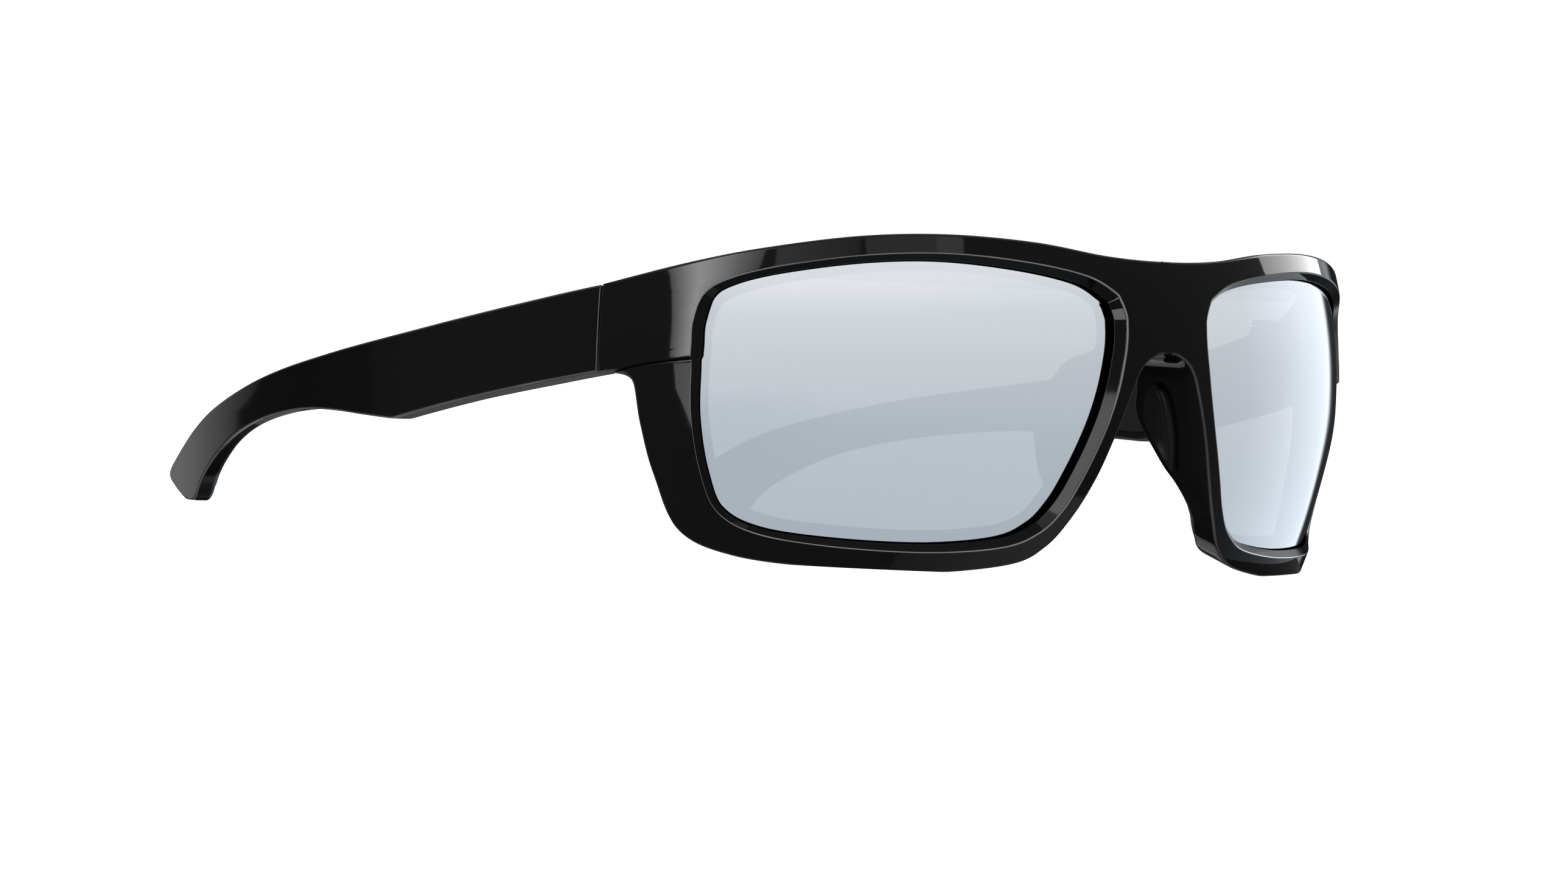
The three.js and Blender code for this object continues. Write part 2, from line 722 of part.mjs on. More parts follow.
function findStand(front, side) {
  let flat = 0;
  let steep = steepestStand;
  for (let i = 0; i < standHalvings; i += 1) {
    const middle = (flat + steep) / 2;
    if (lowestOn(side, middle) > lowestOn(front, middle)) flat = middle;
    else steep = middle;
  }
  return { slope: flat, height: lowestOn(front, flat) + footFlat };
}

const wholeFront = frontFrame();
const wholeTemple = temple();
const stand = findStand(wholeFront, wholeTemple);
const belowTable = new THREE.BoxGeometry(tableSize, tableSize, tableSize)
  .translate(0, 0, stand.height - tableSize / 2)
  .rotateX(stand.slope);

function named(name, geometry, finish) {
  const mesh = new THREE.Mesh(geometry, new THREE.MeshStandardMaterial(finish));
  mesh.name = name;
  return mesh;
}

const worn = new THREE.Group();
const front = new THREE.Group();
worn.add(front);
front.add(named('front_frame', cut(wholeFront, belowTable), nylon));

const footedTemple = cut(wholeTemple, belowTable);
const sides = [['left', (geometry) => geometry], ['right', mirrored]];
for (const [side, place] of sides) {
  front.add(named(`lens_${side}`, place(lens()), lensMirror));
  front.add(named(`nose_pad_${side}`, place(nosePad()), rubber));
  front.add(named(`hinge_front_leaf_${side}`, place(frontLeaf()), steel));
  front.add(named(`hinge_screw_${side}`, place(hingeScrew()), steel));
  const arm = new THREE.Group();
  arm.add(named(`temple_${side}`, place(footedTemple.clone()), nylon));
  arm.add(named(`temple_grip_${side}`, place(templeGrip()), rubber));
  arm.add(named(`hinge_temple_leaf_${side}`, place(templeLeaf()), steel));
  rivetPlaces(-1).forEach((arc, i) => {
    front.add(named(`front_rivet_${i + 1}_${side}`, place(rivet(arc)), steel));
  });
  rivetPlaces(1).forEach((arc, i) => {
    arm.add(named(`temple_rivet_${i + 1}_${side}`, place(rivet(arc)), steel));
  });
  worn.add(arm);
}

// Stood on the table, with the origin below the middle of the glasses.
worn.rotation.x = -stand.slope;
const glasses = new THREE.Group();
glasses.add(worn);
glasses.updateMatrixWorld(true);
const bounds = new THREE.Box3().setFromObject(glasses, true);
const middle = bounds.getCenter(new THREE.Vector3());
worn.position.set(-middle.x, -middle.y, -bounds.min.z);

export default glasses;
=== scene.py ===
import json
import math
import bmesh
import bpy
import numpy as np
from mathutils import Matrix, Quaternion, Vector


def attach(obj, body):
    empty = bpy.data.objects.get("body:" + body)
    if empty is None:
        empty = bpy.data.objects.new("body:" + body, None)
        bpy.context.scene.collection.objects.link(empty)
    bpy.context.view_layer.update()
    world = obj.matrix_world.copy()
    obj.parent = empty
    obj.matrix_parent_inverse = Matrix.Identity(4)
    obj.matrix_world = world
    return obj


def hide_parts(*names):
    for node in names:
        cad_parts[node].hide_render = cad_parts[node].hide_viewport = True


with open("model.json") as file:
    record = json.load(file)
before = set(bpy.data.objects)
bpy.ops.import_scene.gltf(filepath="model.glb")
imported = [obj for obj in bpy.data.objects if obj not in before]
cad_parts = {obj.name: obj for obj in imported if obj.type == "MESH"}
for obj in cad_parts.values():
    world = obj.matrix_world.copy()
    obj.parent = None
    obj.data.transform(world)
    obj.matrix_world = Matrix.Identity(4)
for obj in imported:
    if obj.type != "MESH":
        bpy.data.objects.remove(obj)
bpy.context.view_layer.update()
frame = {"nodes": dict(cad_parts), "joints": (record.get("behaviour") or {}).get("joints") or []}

# The head wrap. Every outer face of the glasses lies on one curved skin that wraps the
# head. A place on it is an arc along the top view curve, a height, and a depth inwards.
# These three are in millimetres; the meshes are in metres.
MM = 0.001
WRAP_ARCS = [0, 25, 48, 60, 90, 110, 140, 170, 204]
WRAP_CURVATURES = [0.0103, 0.0139, 0.0178, 0.0178, 0.0137, 0.0099, 0.0041, -0.0003, -0.0019]
WRAP_END = 214
WRAP_STEP = 0.5
VERTICAL_RADIUS = 62
FRONT_LEAN = 0.105
LEAN_FADE = (56, 96)
CHEEK_TUCK = 1.3
TUCK_ARCS = (42, 66)
TUCK_HEIGHT = 14

wrap_places = np.arange(0, WRAP_END + WRAP_STEP, WRAP_STEP)
middle_curvatures = np.interp(wrap_places[:-1] + WRAP_STEP / 2, WRAP_ARCS, WRAP_CURVATURES)
wrap_turns = np.concatenate([[0], np.cumsum(middle_curvatures * WRAP_STEP)])
wrap_headings = (wrap_turns[:-1] + wrap_turns[1:]) / 2
wrap_x = np.concatenate([[0], np.cumsum(np.cos(wrap_headings) * WRAP_STEP)])
wrap_y = np.concatenate([[0], np.cumsum(np.sin(wrap_headings) * WRAP_STEP)])


def smooth_step(value, low, high):
    share = np.clip((value - low) / (high - low), 0, 1)
    return share * share * (3 - 2 * share)


def skin(arc, height, depth):
    """Worn place in mm of points given by arc, height and depth below the outer face."""
    arc, height, depth = np.broadcast_arrays(*(np.asarray(v, float) for v in (arc, height, depth)))
    turn = np.interp(arc, wrap_places, wrap_turns)
    fade = 1 - smooth_step(arc, *LEAN_FADE)
    lean = -FRONT_LEAN * fade
    tuck = CHEEK_TUCK * smooth_step(arc, *TUCK_ARCS) * fade * smooth_step(-height, 0, TUCK_HEIGHT)
    inset = fade * height * height / (2 * VERTICAL_RADIUS) + tuck
    x = np.interp(arc, wrap_places, wrap_x) - np.sin(turn) * inset
    y = np.interp(arc, wrap_places, wrap_y) + lean * height + np.cos(turn) * inset
    rise = -(fade * height / VERTICAL_RADIUS + lean * np.cos(turn))
    inward = np.stack([-np.sin(turn), np.cos(turn), rise], -1)
    inward /= np.linalg.norm(inward, axis=-1, keepdims=True)
    return np.stack([x, y, height], -1) + inward * depth[..., None]


# The stand. The fold axis of the left temple is upright when worn, so its slope in the
# frame gives the slope at which the glasses stand on their lower rims and temple tips.
PARTING_ARC = 78.7
HINGE_GAP = 0.5
END_PIECE_DEPTH = 5.2
FIT_GAP = 0.3
KNUCKLE_RADIUS = 1.8
FOLD_DATUM_HEIGHT = 7
PIN_ARC = PARTING_ARC + HINGE_GAP / 2
PIN_DEPTH = END_PIECE_DEPTH + FIT_GAP + KNUCKLE_RADIUS

fold_left = next(joint for joint in frame["joints"] if joint["name"] == "fold_left")
stand_sine, stand_cosine = fold_left["axis"][1:]
pin_worn = skin(PIN_ARC, 0, PIN_DEPTH)
pin_worn[2] = FOLD_DATUM_HEIGHT


def stand_turn(worn):
    """Worn directions turned to the slope of the stand."""
    worn = np.asarray(worn, float)
    y = worn[..., 1] * stand_cosine + worn[..., 2] * stand_sine
    z = worn[..., 2] * stand_cosine - worn[..., 1] * stand_sine
    return np.stack([worn[..., 0], y, z], -1)


stand_shift = np.array(fold_left["pos_m"]) - stand_turn(pin_worn) * MM
stand_shift[0] = 0


def on_table(worn):
    """Worn places in mm moved to the table, in metres."""
    return stand_turn(worn) * MM + stand_shift


# The camera stands 84 cm off, low and to the wearer's right, and looks a little up at the
# worn glasses, with a long lens.
CAMERA_WORN = (-567.791, -614.373, -35.909)
CAMERA_HEADING = 0.687024
CAMERA_DROP = -0.0357224
FOCAL_PIXELS = 10683
PHOTO_WIDTH = 2576
SENSOR_WIDTH = 36


def add_object(name, data):
    """A new object in the scene, made of a mesh, a light or a camera."""
    thing = bpy.data.objects.new(name, data)
    bpy.context.scene.collection.objects.link(thing)
    return thing


forward = np.array([
    math.sin(CAMERA_HEADING) * math.cos(CAMERA_DROP),
    math.cos(CAMERA_HEADING) * math.cos(CAMERA_DROP),
    -math.sin(CAMERA_DROP),
])
rightward = np.array([math.cos(CAMERA_HEADING), -math.sin(CAMERA_HEADING), 0])
upward = np.cross(rightward, forward)
camera_axes = Matrix([stand_turn(axis).tolist() for axis in (rightward, upward, -forward)])
camera_data = bpy.data.cameras.new("camera")
camera_data.lens = SENSOR_WIDTH * FOCAL_PIXELS / PHOTO_WIDTH
camera_data.sensor_width = SENSOR_WIDTH
camera = add_object("camera", camera_data)
camera.matrix_world = camera_axes.transposed().to_4x4()
camera.location = on_table(CAMERA_WORN)
bpy.context.scene.camera = camera

# The table is a wide sheet of matt white board, lit from below as well. It and the room
# behind it burn out to plain white in the picture, and it throws no shine up.
TABLE_HALF_WIDTH = 6.0
BOARD_COLOUR = (0.93, 0.93, 0.93, 1)
BOARD_GRAIN = 900
BOARD_GRAIN_RELIEF = 0.02


def new_object(name, vertices, faces, painted_highlight=None):
    """A mesh object. A list of 0 to 1 tells how much painted highlight each point carries."""
    mesh = bpy.data.meshes.new(name)
    mesh.from_pydata([tuple(v) for v in vertices], [], faces)
    mesh.validate()
    if painted_highlight is not None:
        mesh.attributes.new("painted_highlight", "FLOAT", "POINT").data.foreach_set("value", painted_highlight)
    return add_object(name, mesh)


def feed(node, key, source):
    """Gives an input of a node a plain value, or another node's output."""
    if isinstance(source, bpy.types.NodeSocket):
        node.id_data.links.new(source, node.inputs[key])
    else:
        node.inputs[key].default_value = source


def new_material(name, **settings):
    """A material with a Principled shader whose sockets take the given values."""
    material = bpy.data.materials.new(name)
    material.use_nodes = True
    shader = material.node_tree.nodes["Principled BSDF"]
    for socket, value in settings.items():
        feed(shader, socket.replace("_", " "), value)
    return material, shader


def add_node(tree, kind, **settings):
    """A node of one kind: names in capitals feed its inputs, and the others set its options."""
    node = tree.nodes.new(kind)
    for name, value in settings.items():
        if name[0].isupper():
            feed(node, name.replace("_", " "), value)
        else:
            setattr(node, name, value)
    return node


corner = TABLE_HALF_WIDTH
table = new_object("table_board", [
    (-corner, -corner, 0), (corner, -corner, 0), (corner, corner, 0), (-corner, corner, 0),
], [(0, 1, 2, 3)])
board, board_shader = new_material(
    "white_board", Base_Color=BOARD_COLOUR, Roughness=0.9, Emission_Strength=0.9,
    Emission_Color=(1, 1, 1, 1))
grain = add_node(board.node_tree, "ShaderNodeTexNoise", Scale=BOARD_GRAIN)
grain_bump = add_node(
    board.node_tree, "ShaderNodeBump", Strength=BOARD_GRAIN_RELIEF, Height=grain.outputs["Fac"])
feed(board_shader, "Normal", grain_bump.outputs["Normal"])
table.data.materials.append(board)
table.visible_glossy = False
table.visible_shadow = False

# A narrow dark card lies on the board along the left rim. Only shine sees it, and it keeps
# the underside of that rim dark.
CARD_LIFT = 0.0001
CARD_CORNERS = [(0.020, -0.072), (0.0215, -0.0752), (0.0475, -0.0622), (0.046, -0.059)]
card = new_object("dark_card", [(x, y, CARD_LIFT) for x, y in CARD_CORNERS], [(0, 1, 2, 3)])
card_paint, _ = new_material("card_paint", Base_Color=(0.17, 0.17, 0.17, 1), Roughness=0.9)
card.data.materials.append(card_paint)
card.visible_camera = False
card.visible_diffuse = False
card.visible_transmission = False
card.visible_shadow = False

# The studio is a white tent. What the glasses mirror of it is greyer: pale overhead and
# slate blue low down. A black flag closes it behind the glasses, from the temples round to
# the far side, so that the gloss of the frame stays deep black.
TENT_WHITE = 1.12
MIRRORED_BY_HEIGHT = [
    (-0.66, (0.52, 0.57, 0.63)), (-0.25, (0.57, 0.62, 0.68)), (-0.05, (0.64, 0.68, 0.725)),
    (0.06, (0.67, 0.71, 0.75)), (0.16, (0.72, 0.755, 0.80)), (0.26, (0.76, 0.795, 0.835)),
    (0.40, (0.93, 0.95, 0.98)), (0.9, (1.0, 1.0, 1.0)),
]
MIRRORED_BY_BEARING = [
    (-180, 1), (-75, 1), (-52, 0.85), (-36, 0.45), (-21.5, 0.2), (-20, 0.1), (-7, 0.045),
    (60, 0.04), (63, 0.2), (67, 1.9), (76, 1.65), (89, 1.45), (102, 1.2), (113, 1.04), (122, 1),
    (180, 1),
]


def set_ramp(ramp, stops, low, high):
    """Colour stops of a ramp, placed by a value that runs from low to high."""
    while len(ramp.elements) > 1:
        ramp.elements.remove(ramp.elements[-1])
    for number, (value, colour) in enumerate(stops):
        share = (value - low) / (high - low)
        if not isinstance(colour, tuple):
            colour = (colour, colour, colour)
        stop = ramp.elements[0] if number == 0 else ramp.elements.new(share)
        stop.position = share
        stop.color = (*colour, 1)


def sum_node(tree, operation, *sources):
    """What a Math node makes of its inputs, which are numbers or other nodes' outputs."""
    node = add_node(tree, "ShaderNodeMath", operation=operation)
    for number, source in enumerate(sources):
        feed(node, number, source)
    return node.outputs[0]


bpy.context.scene.view_settings.view_transform = "Standard"
world = bpy.data.worlds.new("studio_tent")
bpy.context.scene.world = world
world.use_nodes = True
tent = world.node_tree
tent.nodes.clear()
direction = add_node(tent, "ShaderNodeTexCoord")
axes = add_node(tent, "ShaderNodeSeparateXYZ", Vector=direction.outputs["Generated"])
height_share = sum_node(tent, "MULTIPLY_ADD", axes.outputs["Z"], 0.5, 0.5)
by_height = add_node(tent, "ShaderNodeValToRGB", Fac=height_share)
set_ramp(by_height.color_ramp, MIRRORED_BY_HEIGHT, -1, 1)
bearing = sum_node(tent, "ARCTAN2", axes.outputs["X"], axes.outputs["Y"])
bearing_share = sum_node(tent, "MULTIPLY_ADD", bearing, 1 / math.tau, 0.5)
by_bearing = add_node(tent, "ShaderNodeValToRGB", Fac=bearing_share)
set_ramp(by_bearing.color_ramp, MIRRORED_BY_BEARING, -180, 180)
under_flag = add_node(
    tent, "ShaderNodeMapRange", Value=axes.outputs["Z"], From_Min=-0.36, From_Max=-0.14,
    To_Min=0.08, To_Max=0.0)
bearing_light = sum_node(
    tent, "MAXIMUM", by_bearing.outputs["Color"], under_flag.outputs["Result"])
mirrored = add_node(tent, "ShaderNodeVectorMath", operation="MULTIPLY")
feed(mirrored, 0, by_height.outputs["Color"])
feed(mirrored, 1, bearing_light)
mirrored_tent = add_node(tent, "ShaderNodeBackground", Color=mirrored.outputs[0])
plain_tent = add_node(tent, "ShaderNodeBackground", Color=(1, 1, 1, 1), Strength=TENT_WHITE)
rays = add_node(tent, "ShaderNodeLightPath")
either = add_node(tent, "ShaderNodeMixShader", Fac=rays.outputs["Is Glossy Ray"])
feed(either, 1, plain_tent.outputs[0])
feed(either, 2, mirrored_tent.outputs[0])
feed(add_node(tent, "ShaderNodeOutputWorld"), "Surface", either.outputs[0])

# Soft boxes put the long patches of shine on the black parts alone. Each is aimed at a
# place on the frame, from a bearing (0 is straight back, 90 the wearer's left) and height.
dark_parts = bpy.data.collections.new("parts_lit_by_soft_boxes")


def sloped(tree, across, row):
    """row[0] times the way across a light, plus row[1] times the way up it, plus row[2]."""
    upwards = sum_node(tree, "MULTIPLY_ADD", across.outputs[1], row[1], row[2])
    return sum_node(tree, "MULTIPLY_ADD", across.outputs[0], row[0], upwards)


def soft_box(
        name, aim, bearing, height, size, brightness, ramp=((0, 1), (1, 1)), roll=0,
        distance=1.4, run=(1, 0, 0), lit_where=()):
    """A rectangular light. Its ramp gives the brightness along its run.
    With lit_where, it shines only where one of these sloped rows is above zero."""
    lamp = bpy.data.lights.new(name, "AREA")
    lamp.shape = "RECTANGLE"
    lamp.size, lamp.size_y = size
    lamp.energy = brightness * size[0] * size[1]
    bearing, height = math.radians(bearing), math.radians(height)
    level = math.cos(height)
    outward = Vector(stand_turn(
        [math.sin(bearing) * level, math.cos(bearing) * level, math.sin(height)]))
    box = add_object(name, lamp)
    box.rotation_mode = "QUATERNION"
    box.rotation_quaternion = outward.to_track_quat("Z", "Y") @ Quaternion(
        (0, 0, 1), math.radians(roll))
    box.location = Vector(on_table(aim)) + outward * distance
    box.visible_camera = False
    box.light_linking.receiver_collection = dark_parts
    lamp.use_nodes = True
    tree = lamp.node_tree
    place = add_node(tree, "ShaderNodeNewGeometry")
    across = add_node(tree, "ShaderNodeSeparateXYZ", Vector=place.outputs["Parametric"])
    shade = add_node(tree, "ShaderNodeValToRGB", Fac=sloped(tree, across, run))
    set_ramp(shade.color_ramp, ramp, 0, 1)
    feed(tree.nodes["Emission"], "Color", shade.outputs["Color"])
    if lit_where:
        lit = 0
        for row in lit_where:
            above = sum_node(tree, "GREATER_THAN", sloped(tree, across, row), 0)
            lit = sum_node(tree, "MAXIMUM", above, lit)
        feed(tree.nodes["Emission"], "Strength", lit)


near_side = np.array([-1, 1, 1])
soft_box(
    "end_piece_box", skin(66, 10, 0) * near_side, -111.6, 21, (0.475, 0.95), 165.0,
    [(0, 0.2), (0.335, 1), (0.75, 0.38), (0.95, 0.2), (1, 0.12)], -4)
soft_box(
    "jaw_box", skin(68, -4, 0) * near_side, -112.25, -10.15, (0.672, 0.608), 165.0,
    [(0, 0.22), (1, 0.5)], lit_where=[(1, 0.341, -0.37)])
soft_box(
    "nose_rim_box", skin(12, -4, 0) * near_side, -128.5, 13, (0.2, 0.28), 72.0,
    [(0, 0.7), (1, 1)])
soft_box(
    "brow_box", skin(38, 18, 0) * near_side, -165.1, 26, (0.605, 0.6), 17.0,
    [(0, 0.6), (0.72, 0.62), (0.74, 1), (0.98, 1), (1, 0.5)])
soft_box(
    "brow_corner_box", skin(48, 18, 0) * near_side, -138, 28, (0.55, 0.5), 15.0,
    [(0, 1), (1, 0.3)])
soft_box("far_brow_box", skin(30, 18, 0), 91, 22, (0.8, 0.78), 37.0)
soft_box(
    "floor_box", skin(24, -22, 0) * near_side, 163, -42, (1.0, 0.7), 9.0,
    [(0, 0.3), (0.4, 0.6), (1, 1)])
soft_box(
    "tip_panel", np.array([-58, 150, 3]), 0, 0, (0.014, 0.026), 5.3,
    [(0, 0.05), (0.26, 0.1), (0.52, 0.19), (0.64, 0.25), (0.74, 0.37), (0.86, 0.5),
     (0.92, 0.64), (1, 1)],
    distance=0.1, run=(-1.75, 0, 1.606), lit_where=[(-10.6, 16.98, -3.38), (-14, 0, 8.6)])
soft_box("temple_floor_box", np.array([-66, 10, 15]), 38, -10.5, (0.4, 0.27), 0.48)
soft_box("arch_box", skin(3, 4, 3), 16, -32, (0.6, 0.4), 3.8)

# The front is one moulding of black nylon: two full rims, the bridge, the nose wings, and
# at each side an end piece that carries the hinge. It is polished, with fine round edges.
# A spoke crosses the rim from the edge of the lens opening to the outer edge.
RIM_DEPTH = 4.8
JAW_SET_BACK = 0.45
END_PIECE_LENGTH = 12.7
SIDE_ARC = PARTING_ARC - END_PIECE_LENGTH
CHEEK_ARC = PARTING_ARC - 3.1
END_PIECE_TOP = 13.6
END_PIECE_BOTTOM = 2.4
BROW_TOP = 17.1
ARCH_TOP = 5.1
EDGE_ROUND = 0.4


def key(opening, outer, **others):
    """A spoke that sets its neighbours: its two ends, and what is its own."""
    return {"opening": opening, "outer": outer, **others}


KEY_SPOKES = [
    key((7.1, 9.8), (0, 12), middle=True, depth=5.8),
    key((7.9, 11.7), (0, BROW_TOP - EDGE_ROUND), middle=True),
    key((8.9, 12.8), (0, BROW_TOP), middle=True, level=True),
    key((13.1, 14.7), (9.5, 17.5)),
    key((21.8, 16.2), (20.5, 18.95)),
    key((33, 17.1), (33, 19.7)),
    key((44, 16.8), (44.7, 19.4)),
    key((55.4, 15.4), (57, 18)),
    key((SIDE_ARC - 4.2, 13.9), (SIDE_ARC, 16.45), depth=END_PIECE_DEPTH),
    key((SIDE_ARC - 1.1, 12), (PARTING_ARC, END_PIECE_TOP), depth=END_PIECE_DEPTH, corner=True),
    key((SIDE_ARC, 8.6), (PARTING_ARC, 8), depth=END_PIECE_DEPTH),
    key((SIDE_ARC, 5.6), (PARTING_ARC, END_PIECE_BOTTOM), depth=END_PIECE_DEPTH, corner=True),
    key((SIDE_ARC, 4.2), (CHEEK_ARC, 2.3), depth=END_PIECE_DEPTH),
    key((SIDE_ARC - 0.1, 2.6), (CHEEK_ARC - 1.7, 0.9), set_back=JAW_SET_BACK),
    key((SIDE_ARC - 0.4, -4), (SIDE_ARC + 6.8, -4.4), set_back=JAW_SET_BACK),
    key((SIDE_ARC - 1.6, -10.6), (SIDE_ARC + 5.1, -10.7), set_back=JAW_SET_BACK),
    key((SIDE_ARC - 3.9, -15.5), (SIDE_ARC + 1.6, -18), set_back=JAW_SET_BACK),
    key((56.5, -18.3), (59.8, -21.2), set_back=JAW_SET_BACK / 2),
    key((46, -19.9), (47, -22.7)),
    key((33, -20.6), (33, -23.3)),
    key((22.3, -19.9), (20.6, -22.2)),
    key((17.2, -18), (15.7, -19.9)),
    key((14.2, -14.9), (12.5, -16), depth=5.5),
    key((11.9, -10.4), (9.9, -11.1), depth=10.7),
    key((9.6, -4.7), (7.8, -5.6), depth=14.5),
    key((8.2, 0), (6, -0.8), depth=13.6),
    key((7.4, 4), (4.4, 2.9), depth=12),
    key((7.1, 6), (2.3, 4.6), depth=9.5),
    key((7, 7.4), (0, ARCH_TOP), middle=True, level=True, depth=7.5),
    key((7, 8.4), (0, ARCH_TOP + EDGE_ROUND), middle=True, depth=7),
]
KEY_COUNT = len(KEY_SPOKES)
SPOKES_PER_GAP = 16
# The slit cuts the rim behind the lens corner. Above it is the end piece, below it the jaw.
SLIT_HALF_WIDTH = 0.2
SLIT_HEIGHT = 3.85
SLIT_BOW = 0.32
SLIT_END = (76.45, 2.33)
END_PIECE_TOP_KEY = 9
END_PIECE_CORNER = 11
PARTING_ROUND = 0.15
PARTING_ROUND_FADE = 0.3
JAW_KEY = 13
JAW_START_TANGENT = (-2.6, -0.3)
JAW_END_TANGENT = (-1.1, -2.7)
# Widths and rounds of the section.
WING_START = 21
SOFT_BACK_PLACE = 21.7
SOFT_BACK_REACH = 1.1
WING_FLARE = 0.16
WING_FLARE_FADE = 1.5
WING_EDGE = 1.8
WING_EDGE_RISE = 0.9
WING_EDGE_FADE = 3
SOFT_BACK_RISE = 1.5
SOFT_BACK_RUN = 1.2
ARCH_FADE = 2.5
BEZEL_NOSE_WIDTH = 1.3
BEZEL_TEMPLE_WIDTH = 1.5
BEZEL_SIDE_WIDTH = 0.6
BEZEL_CLEARANCE = 0.35
BEZEL_NOSE_CLEARANCE = 0.95
LENS_NOSE_ARC = 8
LENS_NOSE_DEPTH = 2.2
LENS_TEMPLE_DEPTH = 1.2
LENS_LEAN = 0.006
LENS_THICKNESS = 1.8
LENS_OVERLAP = 0.6
LIP_WIDTH = 1.2
CREASE_ROUND_SIDE = 0.22
CREASE_ROUND_NOSE = 0.5
BEZEL_TIP_ROUND = 0.08
LIP_ROUND = 0.25
GROOVE_ROUND = 0.15
LEAST_SLANT = 0.3
FILLET_STEPS = 6
WIDEST_ROUND = 0.45
JUST_OFF_ROUND = 1.15
FACE_ROWS = 7
WALL_ROWS = 5
BACK_ROWS = 6


def hermite(p0, m0, p1, m1, t):
    t2, t3 = t * t, t * t * t
    return ((2 * t3 - 3 * t2 + 1) * p0 + (t3 - 2 * t2 + t) * m0
            + (3 * t2 - 2 * t3) * p1 + (t3 - t2) * m1)


def key_spoke(number):
    return KEY_SPOKES[number % KEY_COUNT]


def key_point(number, edge):
    return np.array(key_spoke(number)[edge], float)


def curve_between(place, edge):
    """Point at a fractional key number on the opening or the outer edge."""
    number = math.floor(place)
    start, end = key_point(number, edge), key_point(number + 1, edge)
    start_slope = (end - key_point(number - 1, edge)) / 2
    end_slope = (key_point(number + 2, edge) - start) / 2
    if edge == "outer":
        for spoke, slope in ((key_spoke(number), start_slope), (key_spoke(number + 1), end_slope)):
            if spoke.get("corner"):
                slope[:] = end - start
            if spoke.get("level"):
                slope[:] = (end[0] - start[0], 0)
    return hermite(start, start_slope, end, end_slope, place - number)


def opening_normal(place):
    """Direction square to the edge of the opening, away from the lens."""
    ahead = curve_between(place + 0.05, "opening")
    behind = curve_between(place - 0.05, "opening")
    normal = np.array([behind[1] - ahead[1], ahead[0] - behind[0]])
    return normal / np.linalg.norm(normal)


def place_of_opening_height(height):
    places = np.linspace(END_PIECE_CORNER, JAW_KEY, 81)
    heights = [curve_between(place, "opening")[1] for place in places]
    return float(np.interp(-height, -np.array(heights), places))


upper_cut = place_of_opening_height(SLIT_HEIGHT + SLIT_HALF_WIDTH)
lower_cut = place_of_opening_height(SLIT_HEIGHT - SLIT_HALF_WIDTH)


def spoke_at(place):
    """One spoke: its two ends, depths, and how far it bows up beside the slit."""
    number = math.floor(place)
    share = place - number
    first, second = key_spoke(number), key_spoke(number + 1)
    spoke = {"opening": curve_between(place, "opening"), "outer": curve_between(place, "outer")}
    for name, usual in (("depth", RIM_DEPTH), ("set_back", 0)):
        spoke[name] = first.get(name, usual) * (1 - share) + second.get(name, usual) * share
    if number > WING_START:
        beside = [key_spoke(number + i).get("depth", RIM_DEPTH) for i in (-1, 0, 1, 2)]
        slopes = (beside[2] - beside[0]) / 2, (beside[3] - beside[1]) / 2
        spoke["depth"] = hermite(beside[1], slopes[0], beside[2], slopes[1], share)
    spoke["soft_back"] = max(0, 1 - abs(place - SOFT_BACK_PLACE) / SOFT_BACK_REACH)
    spoke["middle"] = bool(first.get("middle") and (share == 0 or second.get("middle")))
    if spoke["middle"]:
        spoke["outer"][0] = 0
    spoke["bow"] = 0
    inner_end = np.array(SLIT_END)
    half_gap = np.array([0, SLIT_HALF_WIDTH])
    if END_PIECE_CORNER < place <= upper_cut:
        share = (place - END_PIECE_CORNER) / (upper_cut - END_PIECE_CORNER)
        start = key_point(END_PIECE_CORNER, "outer")
        spoke["outer"] = start * (1 - share) + (inner_end + half_gap * 0.3) * share
        spoke["bow"] = SLIT_BOW * share
    if lower_cut <= place < JAW_KEY:
        share = (place - lower_cut) / (JAW_KEY - lower_cut)
        start = inner_end - half_gap
        tangents = np.array(JAW_START_TANGENT), np.array(JAW_END_TANGENT)
        spoke["outer"] = hermite(start, tangents[0], key_point(JAW_KEY, "outer"), tangents[1], share)
        spoke["bow"] = SLIT_BOW * (1 - share)
        spoke["set_back"] = JAW_SET_BACK
    return spoke


def lens_depth(spot):
    share = (spot[..., 0] - LENS_NOSE_ARC) / (SIDE_ARC - LENS_NOSE_ARC)
    depth = LENS_NOSE_DEPTH + (LENS_TEMPLE_DEPTH - LENS_NOSE_DEPTH) * share
    return depth + LENS_LEAN * spot[..., 1]


def fillet(before, corner, after, radius, steps=FILLET_STEPS):
    """Points of a round corner, with one more just off each end to keep the faces flat."""
    to_before, to_after = before - corner, after - corner
    room = WIDEST_ROUND * min(np.linalg.norm(to_before), np.linalg.norm(to_after))
    to_before = to_before / np.linalg.norm(to_before)
    to_after = to_after / np.linalg.norm(to_after)
    half_turn = (math.pi - math.acos(float(np.clip(to_before @ to_after, -1, 1)))) / 2
    reach = min(radius * math.tan(half_turn), room)
    weight = math.cos(half_turn)
    start, end = corner + to_before * reach, corner + to_after * reach
    points = [corner + to_before * (reach * JUST_OFF_ROUND)]
    for step in range(steps + 1):
        t = step / steps
        top = (1 - t) ** 2 * start + 2 * t * (1 - t) * weight * corner + t * t * end
        points.append(top / ((1 - t) ** 2 + 2 * t * (1 - t) * weight + t * t))
    points.append(corner + to_after * (reach * JUST_OFF_ROUND))
    return points


